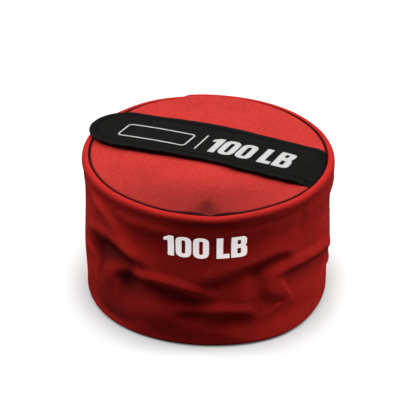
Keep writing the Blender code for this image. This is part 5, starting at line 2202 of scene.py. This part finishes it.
@dataclass
class Flap:
    """The black flap: two plies, its stitching, hook tape under it and white print on it."""

    form: FlapForm
    along: int = 130
    round_tip: int = 72
    bend_start: tuple[float, float, float] = (0.157, 0.0, 0.250)
    bend_end: tuple[float, float, float] = (0.147, 0.0, 0.250)
    stitch_end: float = 184.0 * MM
    cell: float = 4.0 * MM
    text_slant: float = 0.09
    text_height: float = 46.0 * MM
    text_length: float = 146.0 * MM
    text_start: tuple[float, float] = (-1.0 * MM, -31.5 * MM)
    bar_start: tuple[float, float] = (-17.0 * MM, -31.0 * MM)
    box_half: tuple[float, float, float] = (59.0 * MM, 21.0 * MM, 7.0 * MM)
    """Half the name box's length and width, and its corner's radius."""
    box_line: float = 2.6 * MM
    box_centre: tuple[float, float] = (-91.0 * MM, -9.0 * MM)
    box_slant: float = 0.12

    def build(self) -> None:
        """Builds and dresses every piece of the flap."""
        upper = self.upper_ply()
        dress(upper, BLACK_CLOTH, None, "flap_upper_ply", "flap_root")
        lower = self.lower_ply()
        dress(lower, BLACK_CLOTH, None, "flap_lower_ply")
        stitches = self.stitches()
        dress(stitches, BLACK_THREAD, None)
        for piece in (upper, lower, stitches):
            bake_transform(piece)
        tapes = [
            dress(self.hook_tape(side), HOOK_PILE, Body.FLAP, f"hook_tape_{side}")
            for side in ("near", "far", "tip")
        ]
        prints = [dress(made, FLAP_PRINT, Body.FLAP) for made in (self.weight_print(), self.name_box())]

    def upper_ply(self) -> Item:
        """The upper ply: flat across, rolled round the edge and tucked under, with its stitch grooves.

        Its section is a pair of lines at distances from the edge: the outer one runs over the top, round a
        half ellipse and back under; the inner one keeps a ply's thickness from it.

        Returns:
            The piece.
        """
        form = self.form
        edge, ply, high = form.edge_radius, form.upper_ply, form.edge_rise
        coarse = np.linspace(form.half, 26.0 * MM, 14)[:-1]
        insets = np.concatenate([coarse, np.linspace(26.0 * MM, edge, 42)[:-1]])
        grooves = form.groove_drop * bell(insets - form.groove_inset, 1.5 * MM)
        grooves += form.second_drop * bell(insets - form.second_inset, 1.5 * MM)
        puff = 0.8 * MM * bell(insets - 6.5 * MM, 4.0 * MM) + 0.3 * MM * bell(insets - 18.0 * MM, 3.0 * MM)
        top = form.upper_top - grooves + puff
        turn = np.linspace(math.pi / 2, 1.5 * math.pi, 15)
        lip = np.linspace(edge, form.lip_reach, 7)[1:]
        lip_high = form.edge_middle - high + 0.15 * MM * ease((lip - edge) / 5 / MM)
        outer = np.concatenate([insets, edge + edge * np.cos(turn), lip])
        outer_high = np.concatenate([top, form.edge_middle + high * np.sin(turn), lip_high])
        inner = np.concatenate([insets, edge + (edge - ply) * np.cos(turn), lip])
        roll_high = form.edge_middle + (high - ply) * np.sin(turn)
        inner_high = np.concatenate([top - ply, roll_high, lip_high + ply * 0.75])
        face = form.surface(outer, outer_high, self.along, self.round_tip)
        back = form.surface(inner, inner_high, self.along, self.round_tip)
        # The rolled edge is paler, rubbed and with a painted highlight; the outer stitch groove gets
        # painted shade.
        wear_and_painted_light = 0.9 * bell(outer - 0.8 * MM, 1.6 * MM) * (outer_high > 0.2 * MM)
        wear_and_painted_light -= 0.8 * bell(outer - form.groove_inset, 1.0 * MM) * (outer_high > ply)
        wear_and_painted_light = np.broadcast_to(wear_and_painted_light[:, None], face.shape[:2])
        draft = MeshDraft().shell(face, back, face[..., :2], False, "blr", wear_and_painted_light=wear_and_painted_light)
        return draft.build("flap_upper_cloth")

    def lower_ply(self) -> Item:
        """The lower ply: a flat sheet inside the upper one's rolled edge, drawn up along the stitching.

        Returns:
            The sheet.
        """
        form = self.form
        insets = np.linspace(form.half, 4.5 * MM, 34)
        high = 0.70 * MM - 0.15 * MM * bell(insets - form.groove_inset, 2.0 * MM)
        face, back = (form.surface(insets, level, self.along // 2, self.round_tip // 2)
                      for level in (high, high - 0.6 * MM))
        return MeshDraft().shell(face, back, face[..., :2], False, "blr").build("flap_lower_cloth")

    def stitches(self) -> Item:
        """Black stitches in the upper ply's two grooves.

        Returns:
            All the stitches, as one object.
        """
        form = self.form
        draft = MeshDraft()
        for inset, drop in ((form.groove_inset, form.groove_drop), (form.second_inset, form.second_drop)):
            heights = np.array([form.upper_top - drop + 0.05 * MM])
            path = form.surface(np.array([inset]), heights, self.along, self.round_tip)[0]
            path = path[path[:, 0] < self.stitch_end]
            StitchRow().sew(draft, path, np.tile(UP, (len(path), 1)))
        return draft.build("flap_stitches")

    def hook_tape(self, side: str) -> Item:
        """Hook tape under the flap: a woven base with rows of small bent hooks that point down.

        Args:
            side: near, far or tip.

        Returns:
            The piece.
        """
        _, _, middle, half = span(f"hook_tape_{side}")
        base, pitch = 0.6 * MM, 2.4 * MM
        x, y = flat_grid(f"hook_tape_{side}", 3.0 * MM, 24 if side == "tip" else 120, 14)
        y = y + self.form.askew(x)
        top = self.form.rest(x, y) - GAP
        draft = MeshDraft().strip(x, y, top, top - base)
        x, y = np.meshgrid(np.arange(-half.x + 2.2 * MM, half.x - 2 * MM, pitch),
                           np.arange(-half.y + 1.6 * MM, half.y - 1.2 * MM, pitch))
        x = (x + (np.arange(len(x)) % 2)[:, None] * pitch / 2).ravel() + middle.x
        y = y.ravel() + middle.y + self.form.askew(x)
        root = np.stack([x, y, self.form.rest(x, y) - GAP - base + 0.1 * MM], axis=-1)
        along, down, thick = np.array(HOOK).T * MM
        path = root[:, None] + np.stack([along, 0 * along, -down], axis=-1)
        ring = np.column_stack([ring_of(even_angles(4) + math.pi / 4), np.zeros(4)])
        return draft.tube(path[:, :, None] + thick[:, None, None] * ring).build(f"hook_tape_rows_{side}")

    def on_flap(self, x: Array, y: Array) -> Array:
        """Points on the flap for places along and across it from its centre line."""
        across = self.form.centre_y(x) + y
        return np.stack([x, across, self.form.top_of(x, across) + INK_LIFT], axis=-1)

    def weight_print(self) -> Item:
        """The weight, in white, leaning like the photograph's, with the bar that stands before it.

        Returns:
            The print.
        """
        outlines, width = lettering(WEIGHT_TEXT, self.text_slant)
        size = (self.text_length / (width + self.text_slant), self.text_height)
        shapes = [outline * size + self.text_start for outline in outlines]
        bar = box_stroke(0.0, 0.055, 0.0, 1.05, 0.01).outline()
        bar[:, 0] += self.text_slant * bar[:, 1]
        shapes.append(bar * self.text_height + self.bar_start)
        return printed("weight_print", shapes, self.on_flap, self.cell)

    def name_box(self) -> Item:
        """A blank box to write in: a white line round a rectangle with round corners.

        Returns:
            The box's line.
        """
        half_x, half_y, corner = self.box_half
        shapes = [rounded_outline(half_x - inset, half_y - inset, corner - inset)
                  for inset in (0.0, self.box_line)]
        for shape in shapes:
            shape[:, 0] += self.box_slant * shape[:, 1]
            shape += self.box_centre
        return printed("name_box_print", shapes, self.on_flap, self.cell)


@dataclass
class LoopTapes:
    """Loop tape sewn on the top round the zip: a woven base with a pile of small loops."""

    form: BagForm
    pile: float = 0.15 * MM
    ground: float = 0.7 * MM
    edge: float = 1.5 * MM

    def build(self) -> None:
        """Builds and dresses the three tapes."""
        for side in ("near", "far", "tip"):
            dress(self.tape(side), LOOP_PILE, Body.BAG, f"loop_tape_{side}")

    def tape(self, side: str) -> Item:
        """One tape: its pile rises from the woven edge and is a little uneven.

        Args:
            side: The tape's place, as in its node's name.

        Returns:
            The tape.
        """
        low, high, middle, half = span(f"loop_tape_{side}")
        x, y = flat_grid(f"loop_tape_{side}", 3.0 * MM, 40 if side == "tip" else 300, 30)
        inset = np.minimum(half.x - np.abs(x - middle.x), half.y - np.abs(y - middle.y))
        uneven = self.pile * np.random.default_rng(len(side)).uniform(-1.0, 0.6, x.shape)
        rise = (high.z - low.z - self.ground - 0.1 * MM + uneven) * ease(inset / self.edge)
        floor = low.z + self.form.settle(x, y)
        draft = MeshDraft().strip(x, y, floor + self.ground + rise, floor)
        return draft.build(f"loop_tape_pile_{side}", CLOTH_EDGE)


# What fills the bag


@dataclass
class Filling:
    """The liner with its tied neck, and the sand in it."""

    form: BagForm
    columns: int = 240
    ply: float = 0.5 * MM
    pleats: int = 16
    wall_inset: float = 3.2 * MM
    sand_inset: float = 1.4 * MM
    neck_end: float = 12.0 * MM
    cloth_radius: float = 195.0 * MM

    def build(self) -> None:
        """Builds and dresses the liner, its tie and the sand."""
        dress(self.liner(), LINER_CLOTH, Body.BAG, "liner_bag")
        dress(self.tie(), TIE_PLASTIC, Body.BAG, "liner_tie")
        dress(self.sand(), SAND, Body.BAG, "sand_fill")

    def profile(self) -> Array:
        """Radius and height of the liner: down its neck, over its shoulder, down its wall and inward.

        Returns:
            The radius and height at each station.
        """
        form = self.form
        low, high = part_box("liner_bag")
        neck = -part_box("liner_tie")[0].x - 2.4 * MM
        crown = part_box("sand_fill")[1].z + 0.8 * MM
        foot = low.z + 0.3 * MM
        heights = np.linspace(form.allowance_end - 0.016, 0.024, 52)
        wall = np.column_stack([form.wall_radius(heights) - self.wall_inset, heights])
        over = softened([
            (neck, high.z), (neck, crown - 1.0 * MM), (neck + 8 * MM, crown - 3.4 * MM),
            (0.060, crown - 2.0 * MM), (0.110, crown - 0.6 * MM), (0.150, crown - 3.0 * MM),
            (form.seam_radius - 0.016, form.allowance_end - 3.6 * MM), wall[0]])
        edge = form.base_seam_radius - 2.6 * MM
        under = softened([wall[-1], (edge, 0.0112), (edge - 1 * MM, foot + 3 * MM), (edge - 5 * MM, foot),
                          (edge - 20 * MM, foot)])
        flat = np.column_stack([np.linspace(edge - 20 * MM, 0.0, 16)[1:], np.full(15, foot)])
        return np.vstack([over[:-1], wall, under[1:], flat])

    def _grid(self, profile: Array, inset: float) -> Array:
        """The profile turned round +Z, with the wall's relief, drawn in by an inset, and waves on top.

        Args:
            profile: Radius and height at each station.
            inset: Distance drawn in towards the axis.

        Returns:
            The points, as stations, points and coordinates.
        """
        angle = even_angles(self.columns)[None]
        radius, height = profile[:, :1], profile[:, 1:]
        wall = ease((height - 0.012) / 0.02) * ease((radius - 0.17) / 0.02) * ease((0.230 - height) / 0.012)
        relief = np.minimum(self.form.relief(angle, height) * wall, 1.0 * MM)
        on_top = ease((radius - 0.02) / 0.04) * ease((0.165 - radius) / 0.03) * ease((height - 0.20) / 0.02)
        waves = Ripples(3, 1.2 * MM, 12, 0.0, 9).at(angle, 0.0) * on_top
        return turned(radius + relief - inset * ease(radius / 0.03), height - np.abs(waves), angle)

    def liner(self) -> Item:
        """The liner: its neck gathered into pleats that fade out over its shoulder.

        Returns:
            The liner, with its thickness.
        """
        profile = self.profile()
        grid = self._grid(profile, 0.0)
        angle = even_angles(self.columns)
        radius = np.hypot(grid[..., 0], grid[..., 1])
        near = ease((0.060 - radius) / 0.045) * (grid[..., 2] > 0.2)
        pleats = np.sin(self.pleats * angle)
        pleat = 1.0 + near * (0.10 * pleats + 0.03 * np.sin(7 * angle + 1.0))
        grid[..., :2] *= np.where(radius > 0.0, pleat, 1.0)[..., None]
        grid[..., 2] -= 1.2 * MM * near * (radius > self.neck_end) * (0.5 + 0.5 * pleats)
        cloth = round_cloth(profile, angle, self.cloth_radius)
        draft = MeshDraft().skin(grid, self.ply, cloth, True, "t", 1, 0.4)
        return draft.build("sand_liner", CLOTH_EDGE)

    def tie(self) -> Item:
        """The tie round the neck: a flat ribbed strap with a square head and a short tail.

        Returns:
            The strap with its head.
        """
        low, high, middle, half = span("liner_tie")
        inner = high.x - 2.0 * MM
        section = rounded_outline(0.6 * MM, half.z, 0.4 * MM, 3)[::-1]
        angle = even_angles(144)[None]
        ribs = 0.12 * MM * (np.sin(72 * angle) > 0.0) * (section[:, :1] > 0)
        rings = turned(inner + 0.65 * MM + section[:, :1] + ribs, middle.z + section[:, 1:], angle)
        head = rounded_outline(0.9 * MM, 2.2 * MM, 0.3 * MM, 3) + (inner + 1.0 * MM, 0.0)
        draft = MeshDraft().tube(rings, True).slab(head, low.z, high.z, 0.3 * MM)
        return draft.build("liner_neck_tie", CRISP_EDGE)

    def sand(self) -> Item:
        """The sand: it fills the liner, and its top is heaped and pocked.

        Returns:
            The sand, as one closed body.
        """
        inside = self.profile()
        inside = inside[inside[:, 0] > self.neck_end]
        inside = inside[np.argmax(inside[:, 0] > 0.03):]
        crown = min(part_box("sand_fill")[1].z, inside[0, 1])
        start = [(0.0, crown - 2.5 * MM), (self.neck_end, crown - 2.4 * MM)]
        foot = 1.1 * MM
        height = inside[:, 1:]
        level = height - 1.2 * MM * (height > 0.2) + foot * (height < 0.012)
        shape = np.vstack([start, np.hstack([inside[:, :1], level]), [(0.0, height[-1, 0] + foot)]])
        grid = self._grid(shape, self.sand_inset)
        pocks = Ripples(19, 0.5 * MM, 60, 0.0, 24).at(even_angles(self.columns)[None], 0.0)
        grid[..., 2] -= np.abs(pocks) * (shape[:, 1:] > 0.2) * ease(shape[:, :1] / 0.02)
        return MeshDraft().tube(grid).build("sand_heap", CLOTH_EDGE)


# The studio


@dataclass(frozen=True)
class SoftSun:
    """A broad lamp far away, placed by degrees round from the photograph's front and above the floor."""

    name: str
    turn: float
    elevation: float
    strength: float
    width: float
    """How wide it looks from the bag, in degrees."""


@dataclass
class Studio:
    """A pale floor, soft lamps and a camera where the photograph's stood."""

    form: BagForm
    distance: float = 3.0
    elevation: float = 31.09
    roll: float = 0.62
    lens: float = 158.6
    sensor: float = 36.0
    nearest: float = 0.05
    target_right: float = 0.0007
    target_height: float = 0.1361
    floor_half: float = 8.0
    floor_height: float = -0.4 * MM
    floor_seen: Colour = (0.42, 0.42, 0.42)
    floor_hidden: Colour = (0.08, 0.08, 0.08)
    floor_glow: float = 0.64
    painted_shadow_reach: float = 0.05
    painted_shadow_power: float = 1.2
    ambient: float = 0.06
    lamps: tuple[SoftSun, ...] = (
        SoftSun("back_lamp", 180.0, 50.0, 1.15, 40.0),
        SoftSun("front_lamp", 0.0, 77.0, 0.78, 28.0),
        SoftSun("left_lamp", -85.0, 58.0, 0.42, 30.0),
        SoftSun("right_lamp", 85.0, 58.0, 0.45, 30.0),
        SoftSun("left_rim_lamp", -104.0, 42.0, 1.25, 26.0),
        SoftSun("right_rim_lamp", 100.0, 42.0, 1.45, 26.0),
    )

    def direction(self, turn: float, elevation: float) -> Vector:
        """The way from the bag to a place, by its turn from the photograph's front and its elevation."""
        across = math.cos(math.radians(elevation)) * ring_of(self.form.angle_of(turn))
        return Vector((*across, math.sin(math.radians(elevation))))

    def build(self) -> None:
        """Builds the camera, the lamps, the floor and the world."""
        self.camera()
        for lamp in self.lamps:
            self.lamp(lamp)
        self.floor()
        self.world()
        bpy.context.scene.view_settings.view_transform = "Standard"

    def put(self, name: str, data: bpy.types.ID, place: Vector, back: Vector, roll: float = 0.0) -> Item:
        """Links a camera or lamp at a place, looking against a direction and rolled in degrees.

        Args:
            name: The object's name.
            data: Its camera or lamp.
            place: Where it stands.
            back: The direction that it looks against.
            roll: Degrees round its own line of sight.

        Returns:
            The linked object.
        """
        item = bpy.data.objects.new(name, data)
        item.location = place
        item.rotation_mode = "QUATERNION"
        item.rotation_quaternion = back.to_track_quat("Z", "Y") @ Quaternion(UP, math.radians(roll))
        bpy.context.scene.collection.objects.link(item)
        return item

    def camera(self) -> None:
        """The camera, rolled a little as the photograph is."""
        back = self.direction(0.0, self.elevation)
        right = Vector(UP).cross(back).normalized()
        data = bpy.data.cameras.new("photograph_camera")
        data.lens = self.lens
        data.sensor_width = self.sensor
        data.clip_start = self.nearest
        place = right * self.target_right + Vector(UP) * self.target_height + back * self.distance
        bpy.context.scene.camera = self.put("photograph_camera", data, place, back, self.roll)

    def lamp(self, lamp: SoftSun) -> None:
        """One lamp, turned so that its light runs towards the bag.

        Args:
            lamp: The lamp's place, width and strength.
        """
        data = bpy.data.lights.new(lamp.name, "SUN")
        data.energy = lamp.strength
        data.angle = math.radians(lamp.width)
        back = self.direction(lamp.turn, lamp.elevation)
        self.put(lamp.name, data, back * self.distance, back)

    def floor(self) -> None:
        """The floor: white to the camera but for the bag's shadow, which the lamps cast and a painted
        shadow from ambient occlusion deepens near the bag; it sends little light back up.
        """
        edge, low = self.floor_half, self.floor_height
        mesh = bpy.data.meshes.new("studio_floor")
        corners = ((-edge, -edge), (edge, -edge), (edge, edge), (-edge, edge))
        mesh.from_pydata([(x, y, low) for x, y in corners], [], [(0, 1, 2, 3)])
        item = bpy.data.objects.new("studio_floor", mesh)
        bpy.context.scene.collection.objects.link(item)
        made = bpy.data.materials.new("studio floor")
        made.use_nodes = True
        tree = made.node_tree
        tree.nodes.clear()
        nodes = Nodes(tree)
        seen = self.seen(nodes)
        # The floor's glow fades by ambient occlusion near the bag: a painted contact shadow.
        open_sky = nodes.add("AmbientOcclusion", {"Distance": self.painted_shadow_reach}, samples=8).outputs["AO"]
        painted_glow = nodes.math("MULTIPLY", nodes.math("POWER", open_sky, self.painted_shadow_power), self.floor_glow)
        lit = nodes.add("BsdfDiffuse", {"Color": opaque(self.floor_seen)})
        shine = nodes.add("Emission", {"Strength": painted_glow})
        shown = nodes.add("AddShader", {0: lit.outputs[0], 1: shine.outputs[0]})
        hidden = nodes.add("BsdfDiffuse", {"Color": opaque(self.floor_hidden)})
        mix = nodes.add("MixShader", {0: seen, 1: hidden.outputs[0], 2: shown.outputs[0]})
        leave = tree.nodes.new("ShaderNodeOutputMaterial")
        nodes.link(mix.outputs[0], leave.inputs["Surface"])
        mesh.materials.append(made)

    def seen(self, nodes: Nodes) -> Socket:
        """1 on a ray from the camera or through glass, and 0 on one that only carries light."""
        path = nodes.add("LightPath").outputs
        return nodes.math("MAXIMUM", path["Is Camera Ray"], path["Is Transmission Ray"])

    def world(self) -> None:
        """The world: white to the camera, and a low even light on the bag."""
        world = bpy.data.worlds.new("studio_world")
        world.use_nodes = True
        bpy.context.scene.world = world
        nodes = Nodes(world.node_tree)
        strength = nodes.spread(self.seen(nodes), 0.0, 1.0, self.ambient, 1.0)
        background = world.node_tree.nodes["Background"].inputs
        give(background, {"Color": (1.0, 1.0, 1.0, 1.0)})
        nodes.link(strength, background["Strength"])


def main() -> None:
    """Builds the studio and then every piece of the bag, from its shell inward."""
    logging.basicConfig(level=logging.INFO, format="%(message)s")
    form = BagForm.of_frame()
    Studio(form).build()
    RedBag(form).build()
    Zip(form).build()
    LoopTapes(form).build()
    Flap(FlapForm(form)).build()
    Filling(form).build()
    SidePrint(form).build()


if __name__ == "__main__":
    main()
